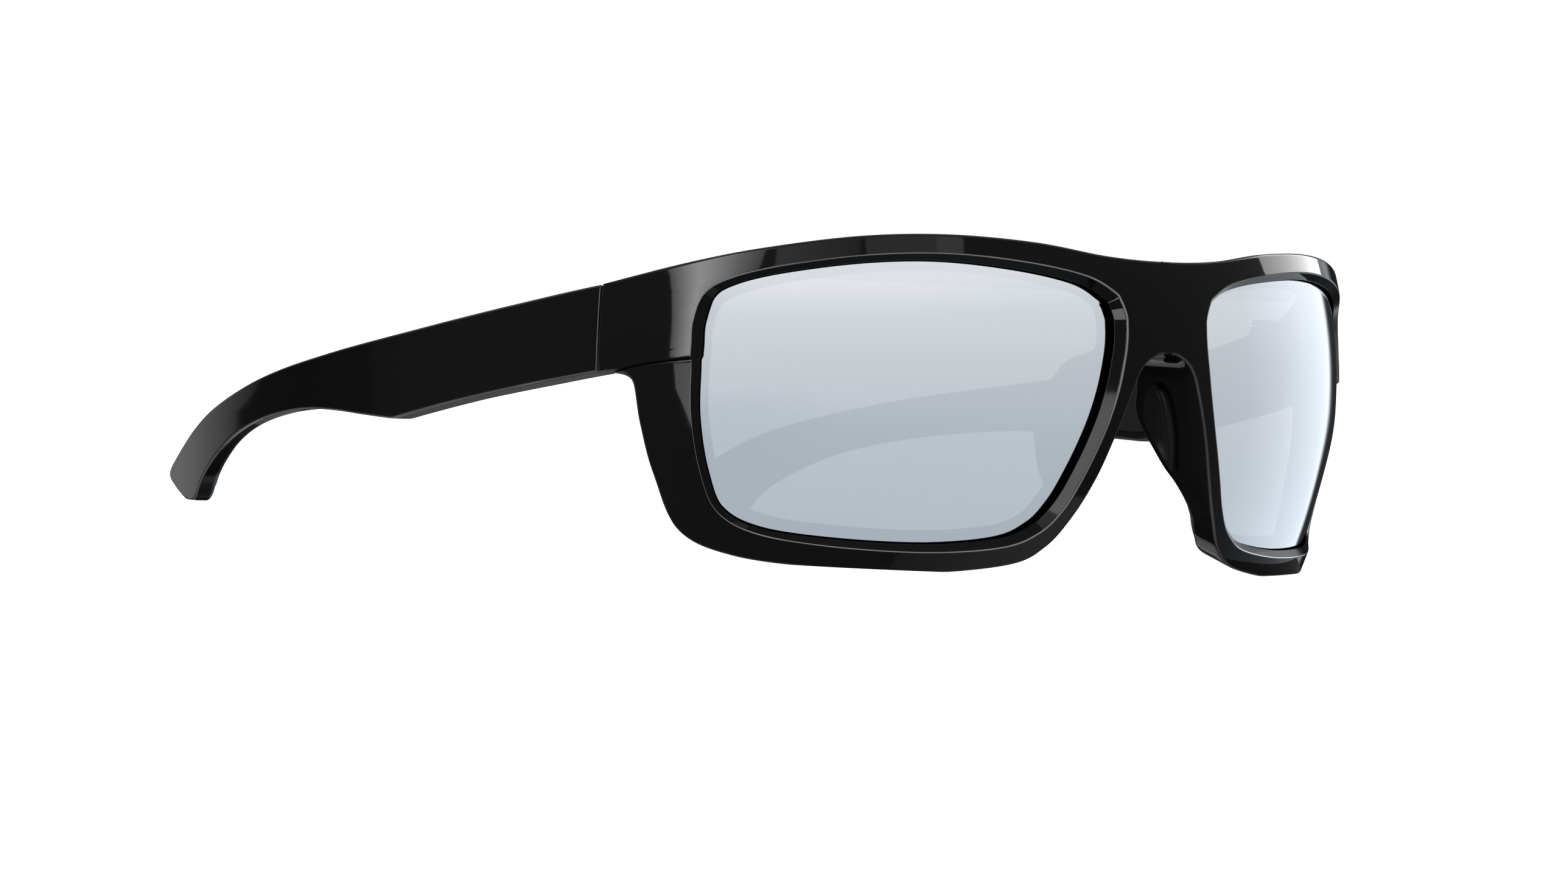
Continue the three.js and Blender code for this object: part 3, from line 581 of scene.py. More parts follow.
# The spokes run round the rim from the lower side of the slit to its upper side.
ring_places = [upper_cut, lower_cut]
ring_places += [n / SPOKES_PER_GAP for n in range(KEY_COUNT * SPOKES_PER_GAP)]
ring_places = sorted((place - lower_cut) % KEY_COUNT for place in ring_places)
ring_places = [place + lower_cut for place in ring_places]
ring_places = [place for place in ring_places if place <= upper_cut + KEY_COUNT + 1e-9]
ring_places = [place for i, place in enumerate(ring_places)
               if i == 0 or place - ring_places[i - 1] > 1e-6]
ring_spokes = []
for place in ring_places:
    wrapped = round(place if place < KEY_COUNT else place - KEY_COUNT, 9)
    spoke = spoke_at(wrapped)
    spoke["place"] = wrapped
    ring_spokes.append(spoke)

outer_line = np.array([spoke["outer"] for spoke in ring_spokes])
top_line = [s["outer"] for s in ring_spokes if 2 <= s["place"] <= 4]
arch_line = [s["outer"] for s in ring_spokes if 26 <= s["place"] <= 28][::-1]
top_arcs, top_heights = np.array(top_line).T
arch_arcs, arch_heights = np.array(arch_line).T


def bridge_drop(arc, height):
    """How much the round of the bridge's top and arch edges takes off near the middle."""
    to_top = np.interp(arc, top_arcs, top_heights) - height
    to_arch = height - np.interp(arc, arch_arcs, arch_heights)
    off_edge = np.clip(EDGE_ROUND - np.minimum(to_top, to_arch), 0, EDGE_ROUND)
    return EDGE_ROUND - np.sqrt(EDGE_ROUND ** 2 - off_edge ** 2)


def bow_rise(spoke, share):
    """How far a spoke beside the slit bows up, at a share of its width."""
    return spoke["bow"] * 27 / 4 * share * share * (1 - share)


def rim_section(index):
    """Closed line of points round the rim at one spoke."""
    spoke = ring_spokes[index]
    opening, outer, depth, set_back = (spoke[k] for k in ("opening", "outer", "depth", "set_back"))
    normal = opening_normal(spoke["place"])
    to_outer = outer - opening
    width = np.linalg.norm(to_outer)
    ahead = outer_line[min(index + 1, len(outer_line) - 1)] - outer_line[max(index - 1, 0)]
    ahead = ahead / max(np.linalg.norm(ahead), 1e-9)
    slant = abs(ahead[0] * to_outer[1] - ahead[1] * to_outer[0]) / width
    edge_round = EDGE_ROUND
    if END_PIECE_TOP_KEY < spoke["place"] < END_PIECE_CORNER:
        from_corner = min(spoke["place"] - END_PIECE_TOP_KEY, END_PIECE_CORNER - spoke["place"])
        finer = float(smooth_step(from_corner, 0, PARTING_ROUND_FADE))
        edge_round -= (EDGE_ROUND - PARTING_ROUND) * finer
    edge_run = edge_round * (1 if spoke["middle"] else 1 / max(slant, LEAST_SLANT))
    extra = max(depth - END_PIECE_DEPTH, 0)
    off_middle = float(smooth_step(outer[0], 0, ARCH_FADE))
    flare = WING_FLARE * depth * extra / (extra + WING_FLARE_FADE) * off_middle
    wing = min(extra / WING_EDGE_FADE, 1) * off_middle
    soft_back = spoke["soft_back"]
    back_run = edge_run + (WING_EDGE - edge_run) * wing + SOFT_BACK_RUN * soft_back
    back_rise = EDGE_ROUND + (WING_EDGE_RISE - EDGE_ROUND) * wing + SOFT_BACK_RISE * soft_back
    lip_depth = min(depth, END_PIECE_DEPTH)
    nose_share = max(0, -normal[0])
    bezel_width = BEZEL_SIDE_WIDTH + (BEZEL_NOSE_WIDTH - BEZEL_SIDE_WIDTH) * nose_share
    bezel_width += (BEZEL_TEMPLE_WIDTH - BEZEL_SIDE_WIDTH) * max(0, normal[0]) ** 2
    lens_face = float(lens_depth(opening))

    def near(across, deep):
        spot = opening + normal * across
        return skin(spot[0], spot[1], deep)

    def far(across, deep, towards=1):
        share = across / width
        spot = opening + to_outer * share
        if spoke["middle"]:
            deep = deep + bridge_drop(spot[0], spot[1]) * towards
        return skin(spot[0], spot[1] + bow_rise(spoke, share), deep)

    side_end = width - flare
    lip = opening - normal * LIP_WIDTH
    groove = LENS_OVERLAP + FIT_GAP
    groove_back = lens_face + LENS_THICKNESS + FIT_GAP
    clearance = BEZEL_CLEARANCE + (BEZEL_NOSE_CLEARANCE - BEZEL_CLEARANCE) * nose_share
    tip = near(-bezel_width, lens_face - clearance)
    crease = near(0, set_back)
    groove_front = near(groove, lens_face - FIT_GAP)
    crease_round = CREASE_ROUND_SIDE + (CREASE_ROUND_NOSE - CREASE_ROUND_SIDE) * nose_share
    points = fillet(groove_front, tip, crease, BEZEL_TIP_ROUND, 3)
    points += fillet(tip, crease, far(width * 0.3, set_back), crease_round)
    face_start = min(np.linalg.norm(points[-1] - crease), 0.25 * width) + 0.1
    face_end = width - edge_run * JUST_OFF_ROUND
    for share in np.linspace(0, 1, FACE_ROWS):
        points.append(far(face_start + (face_end - face_start) * share, set_back))
    round_face, round_back = (0, 0) if spoke["middle"] else (edge_round, back_rise)
    turns = [math.pi / 2 * step / FILLET_STEPS for step in range(FILLET_STEPS + 1)]
    for turn in turns:
        across = width - edge_run * (1 - math.sin(turn))
        points.append(far(across, set_back + round_face * (1 - math.cos(turn))))
    top_depth = set_back + round_face
    bottom_depth = depth - round_back
    for share in np.arange(1, WALL_ROWS) / WALL_ROWS:
        points.append(far(width - flare * share, top_depth + (bottom_depth - top_depth) * share))
    for turn in turns:
        across = side_end - back_run * (1 - math.cos(turn))
        points.append(far(across, depth - round_back * (1 - math.sin(turn)), -1))
    back_share = (side_end - back_run) / width
    start = opening + to_outer * back_share
    for share in np.arange(1, BACK_ROWS) / BACK_ROWS:
        spot = start + (lip - start) * share
        rise = bow_rise(spoke, max(back_share * (1 - share), 0))
        points.append(skin(spot[0], spot[1] + rise, depth + (lip_depth - depth) * share))
    lip_back = near(-LIP_WIDTH, lip_depth)
    lip_front = near(-LIP_WIDTH, groove_back)
    groove_end = near(groove, groove_back)
    points += fillet(points[-1], lip_back, lip_front, LIP_ROUND, 4)
    points += fillet(lip_back, lip_front, groove_end, GROOVE_ROUND, 3)
    return points + [groove_end, groove_front]


def mirrored_mesh(name, vertices, faces, painted_highlight):
    """A mesh and its mirror image, welded along the middle plane."""
    vertices = np.asarray(vertices, float)
    count = len(vertices)
    other = vertices * [-1, 1, 1]
    flipped = [tuple(v + count for v in reversed(face)) for face in faces]
    piece = new_object(
        name, np.concatenate([vertices, other]), list(faces) + flipped,
        np.concatenate([painted_highlight, painted_highlight]))
    work = bmesh.new()
    work.from_mesh(piece.data)
    flat = [f for f in work.faces if all(abs(v.co.x) < 1e-8 for v in f.verts)]
    bmesh.ops.delete(work, geom=flat, context="FACES")
    loose = [v for v in work.verts if not v.link_faces]
    bmesh.ops.delete(work, geom=loose, context="VERTS")
    middle = [v for v in work.verts if abs(v.co.x) < 1e-7]
    bmesh.ops.remove_doubles(work, verts=middle, dist=2e-6)
    tidy_faces(work, piece)
    return piece


def tidy_faces(work, piece):
    """Turns the faces out, shades them smooth and stores the mesh on its object."""
    bmesh.ops.recalc_face_normals(work, faces=work.faces)
    for face in work.faces:
        face.smooth = True
    work.to_mesh(piece.data)
    work.free()


def ring_faces(rows, size, closed=True):
    """Four-sided faces between rings of points, each ring closed on itself."""
    faces = []
    for i in range(rows - 1):
        for j in range(size if closed else size - 1):
            k = (j + 1) % size
            faces.append((i * size + j, i * size + k, (i + 1) * size + k, (i + 1) * size + j))
    return faces


CUT_ROUND = 0.14
SLIT_ROUND = 0.05
CUT_ROUND_STEPS = 4


def rounded_end(section, away, reach=CUT_ROUND, shrinkage=0.05):
    """Rings that close a cut end with a small round, shrunk about the section's middle."""
    centre = section.mean(0)
    rings = []
    for step in range(1, CUT_ROUND_STEPS + 1):
        turn = math.pi / 2 * step / CUT_ROUND_STEPS
        shrink = 1 - shrinkage * (1 - math.cos(turn))
        rings.append(centre + (section - centre) * shrink + away * reach * math.sin(turn))
    return rings


def highlight_rows(size, *rounds):
    """How much painted highlight each point of a section carries: most in the middle of its round
    edges.
    """
    amounts = np.zeros(size)
    for first, count, most in rounds:
        amounts[first:first + count] = most * np.sin(np.linspace(0, math.pi, count)) ** 3
    return amounts


sections = np.array([rim_section(i) for i in range(len(ring_spokes))])
section_size = sections.shape[1]
first_away = np.array([0, 0, 1.0])
rings = rounded_end(sections[0], first_away, SLIT_ROUND, 0.02)[::-1]
rings += list(sections)
rings += rounded_end(sections[-1], -first_away, SLIT_ROUND, 0.02)
front_points = on_table(np.array(rings))
front_points[..., 2] = np.maximum(front_points[..., 2], 0)
front_faces = ring_faces(len(rings), section_size)
last = (len(rings) - 1) * section_size
for first in (0, last):
    front_faces += [
        (first + i, first + i + 1, first + section_size - 2 - i, first + section_size - 1 - i)
        for i in range(section_size // 2 - 1)
    ]
# The rows of a section: its crease from row 6, its face from 15, its outer round from 22,
# its wall from 29, its back round from 33, its back from 40, its lip from 45.
# Painted highlight: the crease round gets a paler colour along its middle, and off the middle so do
# the outer and back rounds (the wing backs most). The slit end gets some too.
front_highlight = np.tile(highlight_rows(section_size, (7, 7, 1)), (len(rings), 1))
front_highlight[CUT_ROUND_STEPS // 2, 14:21] = 0.4
for number, spoke in enumerate(ring_spokes):
    if not spoke["middle"]:
        on_wing = spoke["place"] > WING_START
        front_highlight[number + CUT_ROUND_STEPS] += highlight_rows(
            section_size, (22, 7, 0.25), (33, 7, 0.9 if on_wing else 0.4))
# Beside the lens a short tongue of the lip closes the slit.
tongue_rows = list(range(45, section_size)) + list(range(11))
tongue = front_points[[len(rings) - 1 - CUT_ROUND_STEPS, CUT_ROUND_STEPS]][:, tongue_rows]
tongue_start, tongue_size = front_highlight.size, len(tongue_rows)
front_faces += [
    tuple(tongue_start + corner for corner in face)
    for face in ring_faces(2, tongue_size) + [
        tuple(range(tongue_size)), tuple(range(tongue_size, 2 * tongue_size))]
]
front = mirrored_mesh(
    "rim_moulding", np.concatenate([front_points.reshape(-1, 3), tongue.reshape(-1, 3)]),
    front_faces, np.concatenate([front_highlight.ravel(), np.zeros(2 * tongue_size)]))


def effect_group(name, inputs, outputs):
    """An empty node group of plain number inputs and outputs."""
    group = bpy.data.node_groups.new(name, "ShaderNodeTree")
    for in_out, sockets in (("INPUT", inputs), ("OUTPUT", outputs)):
        for socket in sockets:
            group.interface.new_socket(socket, in_out=in_out, socket_type="NodeSocketFloat")
    return group, group.nodes.new("NodeGroupInput"), group.nodes.new("NodeGroupOutput")


# Fingers leave soft smears on every surface, over the finer grain that it was made with.
smears, smears_in, smears_out = effect_group(
    "smears_and_grain", ["Smear Scale", "Grain Scale", "Smooth", "Rough"], ["Roughness", "Grain"])
place_in_piece = add_node(smears, "ShaderNodeTexCoord")
smear_noise = add_node(
    smears, "ShaderNodeTexNoise", Vector=place_in_piece.outputs["Object"],
    Scale=smears_in.outputs["Smear Scale"], Detail=3.0, Distortion=0.6)
grain_noise = add_node(
    smears, "ShaderNodeTexNoise", Vector=place_in_piece.outputs["Object"],
    Scale=smears_in.outputs["Grain Scale"], Detail=2.0)
smear_range = add_node(
    smears, "ShaderNodeMapRange", Value=smear_noise.outputs["Fac"], From_Min=0.35, From_Max=0.68,
    To_Min=smears_in.outputs["Smooth"], To_Max=smears_in.outputs["Rough"])
feed(smears_out, "Roughness", smear_range.outputs["Result"])
feed(smears_out, "Grain", grain_noise.outputs["Fac"])


def finish_with_smears(shader, relief, depth, **values):
    """Puts the smears and grain on a material, with its own scales and roughness."""
    effect = add_node(shader.id_data, "ShaderNodeGroup", node_tree=smears, **values)
    bump = add_node(
        shader.id_data, "ShaderNodeBump", Strength=relief, Distance=depth,
        Height=effect.outputs["Grain"])
    feed(shader, "Roughness", effect.outputs["Roughness"])
    feed(shader, "Normal", bump.outputs["Normal"])


# The round edges of the nylon are painted a little paler, more in some places: a painted highlight
# where they would catch the light.
edges, edges_in, edges_out = effect_group("painted_edge_highlights", ["Patch Scale"], ["Painted Highlight"])
edge_amount = add_node(edges, "ShaderNodeAttribute", attribute_name="painted_highlight")
edge_place = add_node(edges, "ShaderNodeTexCoord")
edge_noise = add_node(
    edges, "ShaderNodeTexNoise", Vector=edge_place.outputs["Object"],
    Scale=edges_in.outputs["Patch Scale"], Detail=2.0)
edge_range = add_node(
    edges, "ShaderNodeMapRange", Value=edge_noise.outputs["Fac"], From_Min=0.3, From_Max=0.7,
    To_Min=0.55)
edge_mask = sum_node(edges, "MULTIPLY", edge_amount.outputs["Fac"], edge_range.outputs["Result"])
feed(edges_out, "Painted Highlight", edge_mask)

NYLON_COLOUR = (0.0007, 0.0007, 0.0007, 1)
# The paler colour of the painted highlights on the round edges.
HIGHLIGHT_COLOUR = (0.07, 0.07, 0.071, 1)
nylon, nylon_shader = new_material(
    "black_nylon", Base_Color=NYLON_COLOUR, Specular_IOR_Level=0.06)
finish_with_smears(
    nylon_shader, 0.02, 0.00001, Smear_Scale=70.0, Grain_Scale=2600.0, Smooth=0.03, Rough=0.05)
# Where a point carries painted highlight, the nylon's colour is mixed towards the paler one.
edge_effect = add_node(nylon.node_tree, "ShaderNodeGroup", node_tree=edges, Patch_Scale=90.0)
edge_colour = add_node(
    nylon.node_tree, "ShaderNodeMix", data_type="RGBA", Factor=edge_effect.outputs["Painted Highlight"],
    A=NYLON_COLOUR, B=HIGHLIGHT_COLOUR)
feed(nylon_shader, "Base Color", edge_colour.outputs["Result"])
rubber, rubber_shader = new_material(
    "soft_rubber", Base_Color=(0.0022, 0.0022, 0.0023, 1), Specular_IOR_Level=0.08)
finish_with_smears(
    rubber_shader, 0.25, 0.00003, Smear_Scale=180.0, Grain_Scale=5200.0, Smooth=0.3, Rough=0.42)


def dress(piece, body, node, material):
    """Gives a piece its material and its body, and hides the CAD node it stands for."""
    piece.data.materials.append(material)
    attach(piece, body)
    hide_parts(node)
    if material in (nylon, rubber):
        dark_parts.objects.link(piece)


dress(front, "front", "front_frame", nylon)

# The lenses are two shells of moulded polycarbonate 1.8 mm thick with a silver mirror
# coat. Each is sprung into the groove of its rim, through the slit at the temple side.
LENS_CENTRE = np.array([36, -1.5])
LENS_RINGS = 28
LENS_EDGE_CHAMFER = 0.15
MIRROR_COLOUR = (0.86, 0.88, 0.90, 1)
SMOKE_COLOUR = (0.018, 0.02, 0.022, 1)


def side_pieces(name, vertices, faces, painted_highlight=None):
    """A piece of the left side, and its mirror image on the right."""
    vertices = np.asarray(vertices, float)
    for side, sign in (("left", 1), ("right", -1)):
        turned = [tuple(face) if sign > 0 else tuple(reversed(face)) for face in faces]
        piece = new_object(f"{name}_{side}", vertices * [sign, 1, 1], turned, painted_highlight)
        work = bmesh.new()
        work.from_mesh(piece.data)
        tidy_faces(work, piece)
        yield side, piece


lens_places = np.arange(KEY_COUNT * SPOKES_PER_GAP) / SPOKES_PER_GAP
lens_outline = np.array([
    curve_between(place, "opening") + opening_normal(place) * LENS_OVERLAP
    for place in lens_places
])
lens_rings = []
for side_depth, chamfer_depth, order in (
        (0, LENS_EDGE_CHAMFER, 1), (LENS_THICKNESS, -LENS_EDGE_CHAMFER, -1)):
    shell = []
    for ring in range(1, LENS_RINGS + 1):
        share = ring / LENS_RINGS * (1 - LENS_EDGE_CHAMFER / LENS_CENTRE[0])
        spots = LENS_CENTRE + (lens_outline - LENS_CENTRE) * share
        shell.append(skin(spots[:, 0], spots[:, 1], lens_depth(spots) + side_depth))
    rim_depth = lens_depth(lens_outline) + side_depth + chamfer_depth
    shell.append(skin(lens_outline[:, 0], lens_outline[:, 1], rim_depth))
    lens_rings += shell[::order]
lens_points = on_table(np.array(lens_rings))
lens_size = len(lens_outline)
lens_faces = ring_faces(len(lens_rings), lens_size)
lens_vertices = lens_points.reshape(-1, 3).tolist()
for ring, deep in ((0, 0), (len(lens_rings) - 1, LENS_THICKNESS)):
    hub = len(lens_vertices)
    lens_vertices.append(on_table(skin(*LENS_CENTRE, lens_depth(LENS_CENTRE) + deep)))
    for j in range(lens_size):
        lens_faces.append((hub, ring * lens_size + j, ring * lens_size + (j + 1) % lens_size))
mirror, mirror_shader = new_material(
    "mirror_lens", Base_Color=MIRROR_COLOUR, Metallic=1.0, Alpha=0.86)
finish_with_smears(
    mirror_shader, 0.01, 0.00001, Smear_Scale=40.0, Grain_Scale=900.0, Smooth=0.02, Rough=0.05)
seen_side = add_node(mirror.node_tree, "ShaderNodeNewGeometry")
coat_colour = add_node(
    mirror.node_tree, "ShaderNodeMix", data_type="RGBA", Factor=seen_side.outputs["Backfacing"],
    A=MIRROR_COLOUR, B=SMOKE_COLOUR)
coated = sum_node(mirror.node_tree, "SUBTRACT", 1, seen_side.outputs["Backfacing"])
feed(mirror_shader, "Base Color", coat_colour.outputs["Result"])
feed(mirror_shader, "Metallic", coated)
smoke, smoke_shader = new_material(
    "smoke_lens_back", Base_Color=SMOKE_COLOUR, Alpha=0.74, Specular_IOR_Level=0.15)
finish_with_smears(
    smoke_shader, 0.01, 0.00001, Smear_Scale=40.0, Grain_Scale=900.0, Smooth=0.04, Rough=0.08)
front_count = (LENS_RINGS + 1) * lens_size
front_hub = len(lens_rings) * lens_size
for side, piece in side_pieces("lens_shell", lens_vertices, lens_faces):
    dress(piece, "front", f"lens_{side}", mirror)
    piece.data.materials.append(smoke)
    for face in piece.data.polygons:
        if not all(corner < front_count or corner == front_hub for corner in face.vertices):
            face.material_index = 1

# The nose pads are soft rubber oblongs with lengthwise ribs. They are moulded on to the
# nose side of the wings, where they carry the glasses.
PAD_SPOKES = (22.9, 25.35)
PAD_FRONT_DEPTH = 6.3
PAD_BACK_MARGIN = 2.6
PAD_THICKNESS = 1.1
PAD_SUNK = 0.1
PAD_END_POWER = 3
PAD_RIBS = 6
PAD_RIB_HEIGHT = 0.16
PAD_BORDER = 0.22
PAD_BORDER_FADE = 0.06
PAD_EDGE_POWER = 5
PAD_RIB_START = 0.45
PAD_RIB_FADE = 0.1
PAD_LEAST_WIDTH = 0.8
PAD_LENGTH_STEPS = 56
PAD_WIDTH_STEPS = 72


def flank(spoke, depth, stand_off):
    """Point on the nose side of a wing, stood off it by some distance."""
    to_outer = spoke["outer"] - spoke["opening"]
    width = np.linalg.norm(to_outer)
    extra = max(spoke["depth"] - END_PIECE_DEPTH, 0)
    flare = WING_FLARE * spoke["depth"] * extra / (extra + WING_FLARE_FADE)
    share = (depth - EDGE_ROUND) / (spoke["depth"] - 2 * EDGE_ROUND)
    spot = spoke["opening"] + to_outer * ((width - flare * share + stand_off) / width)
    return skin(spot[0], spot[1], depth)


pad_rings = []
for step in range(PAD_LENGTH_STEPS + 1):
    share = (1 - math.cos(math.pi * step / PAD_LENGTH_STEPS)) / 2
    spoke = spoke_at(PAD_SPOKES[0] + (PAD_SPOKES[1] - PAD_SPOKES[0]) * share)
    end = min(0.999, abs(2 * share - 1) ** PAD_END_POWER)
    narrow = math.sqrt(1 - end)
    back = spoke["depth"] - PAD_BACK_MARGIN
    middle = (PAD_FRONT_DEPTH + back) / 2
    half = max(back - PAD_FRONT_DEPTH, PAD_LEAST_WIDTH) / 2 * narrow
    crown = PAD_THICKNESS * (0.5 + 0.5 * narrow)
    line = [flank(spoke, middle + half, -PAD_SUNK), flank(spoke, middle - half, -PAD_SUNK)]
    for j in range(PAD_WIDTH_STEPS + 1):
        across = 2 * j / PAD_WIDTH_STEPS - 1
        edge = math.sqrt(max(1 - abs(across) ** PAD_EDGE_POWER, 0))
        inside = min(max((1 - PAD_BORDER - abs(across)) / PAD_BORDER_FADE, 0), 1)
        inside *= min(max((narrow - PAD_RIB_START) / PAD_RIB_FADE, 0), 1)
        rib = math.cos(across / (1 - PAD_BORDER) * math.pi * PAD_RIBS) * 0.5 - 0.5
        proud = crown * edge + PAD_RIB_HEIGHT * rib * inside
        line.append(flank(spoke, middle + across * half, proud))
    pad_rings.append(line)


def capped_tube(rings):
    """Points and faces of a tube through rings of points, with both ends closed."""
    points = on_table(np.array(rings)).reshape(-1, 3)
    size = len(rings[0])
    ends = [tuple(range(size)), tuple(range(len(points) - size, len(points)))]
    return points, ring_faces(len(rings), size) + ends


for side, piece in side_pieces("ribbed_pad", *capped_tube(pad_rings)):
    dress(piece, "front", f"nose_pad_{side}", rubber)

# The temples are injected nylon bars. They run straight back from the end pieces and get
# thinner, with a corner in the lower edge, and curve down behind the ear.
TEMPLE_STEP_DOWN = 0.1
VISIBLE_GAP = 0.3
TEMPLE_START = PARTING_ARC + VISIBLE_GAP
TEMPLE_TOP = np.array([
    (TEMPLE_START, END_PIECE_TOP - TEMPLE_STEP_DOWN), (93.4, 11.2), (113, 8.8), (134, 7),
    (152, 5.6), (163, 4.5), (171, 3.4), (178, 2.2), (185, 0.6), (191.4, -1.6), (195.7, -3.65),
    (198.3, -5.05), (199.7, -5.85), (200.5, -6.35), (200.9, -6.75), (201.05, -7.05),
])
CORNER_ARC = 117
TEMPLE_BOTTOM = np.array([(TEMPLE_START, END_PIECE_BOTTOM - TEMPLE_STEP_DOWN), (CORNER_ARC, -2.6)])
HOOK_BOTTOM = np.array([
    (CORNER_ARC, -2.6), (125, -1.8), (134, -0.9), (143, -0.4), (153.4, -0.6), (163.6, -1.4),
    (172, -2.7), (178.6, -4.5), (185, -7.1), (188.6, -9.35), (189.9, -10.75), (190.7, -11.4),
    (192.4, -11.65), (194.2, -11.3), (195.6, -10.85), (198, -9.85), (199.5, -9.1),
    (200.4, -8.6), (200.85, -8.25), (201.05, -7.95),
])
TEMPLE_THICKNESS = np.array([
    (TEMPLE_START, 5.2), (88, 5), (100, 3.8), (120, 3.2), (150, 2.5), (165, 2.3), (178, 2.4),
    (188, 2.8), (201.05, 2.8),
])
TEMPLE_EDGE = 0.35
TEMPLE_INNER_EDGE = np.array([(TEMPLE_START, 0.4), (110, 0.4), (140, 0.9), (201.05, 0.9)])
TEMPLE_FRONT_ROUND = 0.13
TEMPLE_FRONT_SHRINK = 0.04
TIP_ROUND = 0.3
TIP_SHRINK = 0.3
CORNER_SOFTNESS = 0.8
CORNER_FILL = 0.06
SEAT_CLEARANCE = 1.3
MID_THICKNESS = 0.4
TEMPLE_RING_STEP = 0.8
GRIP_START = 110
GRIP_END = 194
GRIP_MARGIN = 1.2
GRIP_SEAT = 0.9
GRIP_PROUD = 0.3
GRIP_TAPER_LENGTH = 5
GRIP_BLUNT_END = 0.6
GRIP_TAPER_SHARE = 0.3


def smooth_along(pairs, place):
    """Smooth line through pairs, with the slopes taken from the pairs to each side."""
    last = len(pairs) - 1
    i = 0
    while i < last - 1 and place > pairs[i + 1][0]:
        i += 1
    span = pairs[i + 1][0] - pairs[i][0]

    def slope(a, b):
        return (pairs[b][1] - pairs[a][1]) / (pairs[b][0] - pairs[a][0]) * span

    start_slope = slope(max(i - 1, 0), i + 1)
    end_slope = slope(i, min(i + 2, last))
    t = (place - pairs[i][0]) / span
    return hermite(pairs[i][1], start_slope, pairs[i + 1][1], end_slope, t)


def temple_heights(arc):
    if arc < CORNER_ARC:
        low = np.interp(arc, *TEMPLE_BOTTOM.T)
    else:
        low = smooth_along(HOOK_BOTTOM, arc)
    near_corner = max(CORNER_SOFTNESS - abs(arc - CORNER_ARC), 0)
    low += near_corner ** 2 / CORNER_SOFTNESS * CORNER_FILL
    return low, smooth_along(TEMPLE_TOP, arc)


def grip_heights(arc, inset):
    """Lowest and highest point of the grip strip, drawn in all round by an inset."""
    low, high = temple_heights(arc)
    ends = min(arc - GRIP_START, GRIP_END - arc) + GRIP_BLUNT_END
    taper = 1 - math.sqrt(min(max(ends / GRIP_TAPER_LENGTH, 0), 1))
    margin = GRIP_MARGIN + inset + taper * (high - low - 2 * GRIP_MARGIN) * GRIP_TAPER_SHARE
    return low + margin, high - margin


def temple_section(arc, seat):
    """Closed line round the temple, with the seat of the grip strip on its inner side."""
    low, high = temple_heights(arc)
    inner = np.interp(arc, *TEMPLE_THICKNESS.T)
    fine = min(TEMPLE_EDGE, (high - low) / 4)
    soft = min(np.interp(arc, *TEMPLE_INNER_EDGE.T), (high - low) / 4)
    grip_low, grip_high = grip_heights(min(max(arc, GRIP_START), GRIP_END), 0)
    on_grip = GRIP_START <= arc <= GRIP_END
    grip_middle = (grip_low + grip_high) / 2 if on_grip else (low + high) / 2
    grip_half = min((grip_high - grip_low) / 2, (high - low) / 2 - soft * SEAT_CLEARANCE)
    grip_low, grip_high = grip_middle - grip_half, grip_middle + grip_half
    corners = skin(arc, np.array([low, high, high, low]), np.array([0, 0, inner, inner]))
    bottom_out, top_out, top_in, bottom_in = corners
    points = fillet(bottom_in, bottom_out, top_out, fine)
    for share in (0.25, 0.5, 0.75):
        points.append(skin(arc, low + (high - low) * share, 0))
    points += fillet(bottom_out, top_out, top_in, fine)
    points += [skin(arc, high, inner * MID_THICKNESS)]
    points += fillet(top_out, top_in, bottom_in, soft)
    for height, deep in (
            (grip_high, 0), (grip_high, seat), (grip_low, seat), (grip_low, 0)):
        points.append(skin(arc, height, inner - deep))
    points += fillet(top_in, bottom_in, bottom_out, soft)
    points += [skin(arc, low, inner * MID_THICKNESS)]
    return points


temple_end = TEMPLE_TOP[-1][0]
temple_arcs = [(arc, 0) for arc in np.arange(TEMPLE_START, GRIP_START, TEMPLE_RING_STEP)]
temple_arcs.append((GRIP_START - 0.01, 0))
grip_arcs = list(np.arange(GRIP_START, CORNER_ARC - CORNER_SOFTNESS, TEMPLE_RING_STEP))
grip_arcs += list(CORNER_ARC + CORNER_SOFTNESS * np.linspace(-1, 1, 9))
grip_arcs += list(np.arange(CORNER_ARC + CORNER_SOFTNESS + 0.4, GRIP_END - 0.3, TEMPLE_RING_STEP))
temple_arcs += [(arc, GRIP_SEAT) for arc in grip_arcs + [GRIP_END]]
temple_arcs.append((GRIP_END + 0.01, 0))
temple_arcs += [
    (GRIP_END + (temple_end - GRIP_END) * math.sin(math.pi / 2 * step / 24), 0)
    for step in range(2, 25)
]
temple_sections = np.array([temple_section(arc, seat) for arc, seat in temple_arcs])
end_away = skin(temple_end, -7.3, 1) - skin(temple_end - 1, -7.3, 1)
start_away = skin(TEMPLE_START - 1, 8, 1) - skin(TEMPLE_START, 8, 1)
temple_rings = rounded_end(
    temple_sections[0], start_away, TEMPLE_FRONT_ROUND, TEMPLE_FRONT_SHRINK)[::-1]
temple_rings += list(temple_sections)
temple_rings += rounded_end(temple_sections[-1], end_away, TIP_ROUND, TIP_SHRINK)
temple_points, temple_faces = capped_tube(temple_rings)
temple_points[:, 2] = np.maximum(temple_points[:, 2], 0)
# Painted highlight along the temple's round edges, strongest all round its front end at the parting
# line.
temple_highlight = np.tile(
    highlight_rows(
        temple_sections.shape[1], (1, 7, 0.5), (13, 7, 0.5), (23, 7, 0.3), (36, 7, 0.3)),
    (len(temple_rings), 1))
temple_highlight[CUT_ROUND_STEPS // 2] = 1
for side, piece in side_pieces(
        "temple_bar", temple_points, temple_faces, temple_highlight.ravel()):
    piece.data.set_sharp_from_angle(angle=math.radians(40))
    dress(piece, f"temple_arm_{side}", f"temple_{side}", nylon)

# The grip strips are the same soft rubber as the pads, let into the inner side of each
# temple, and stand a little proud of it so that they hold on the skin.
GRIP_EDGE = 0.25
GRIP_RING_STEP = 0.7


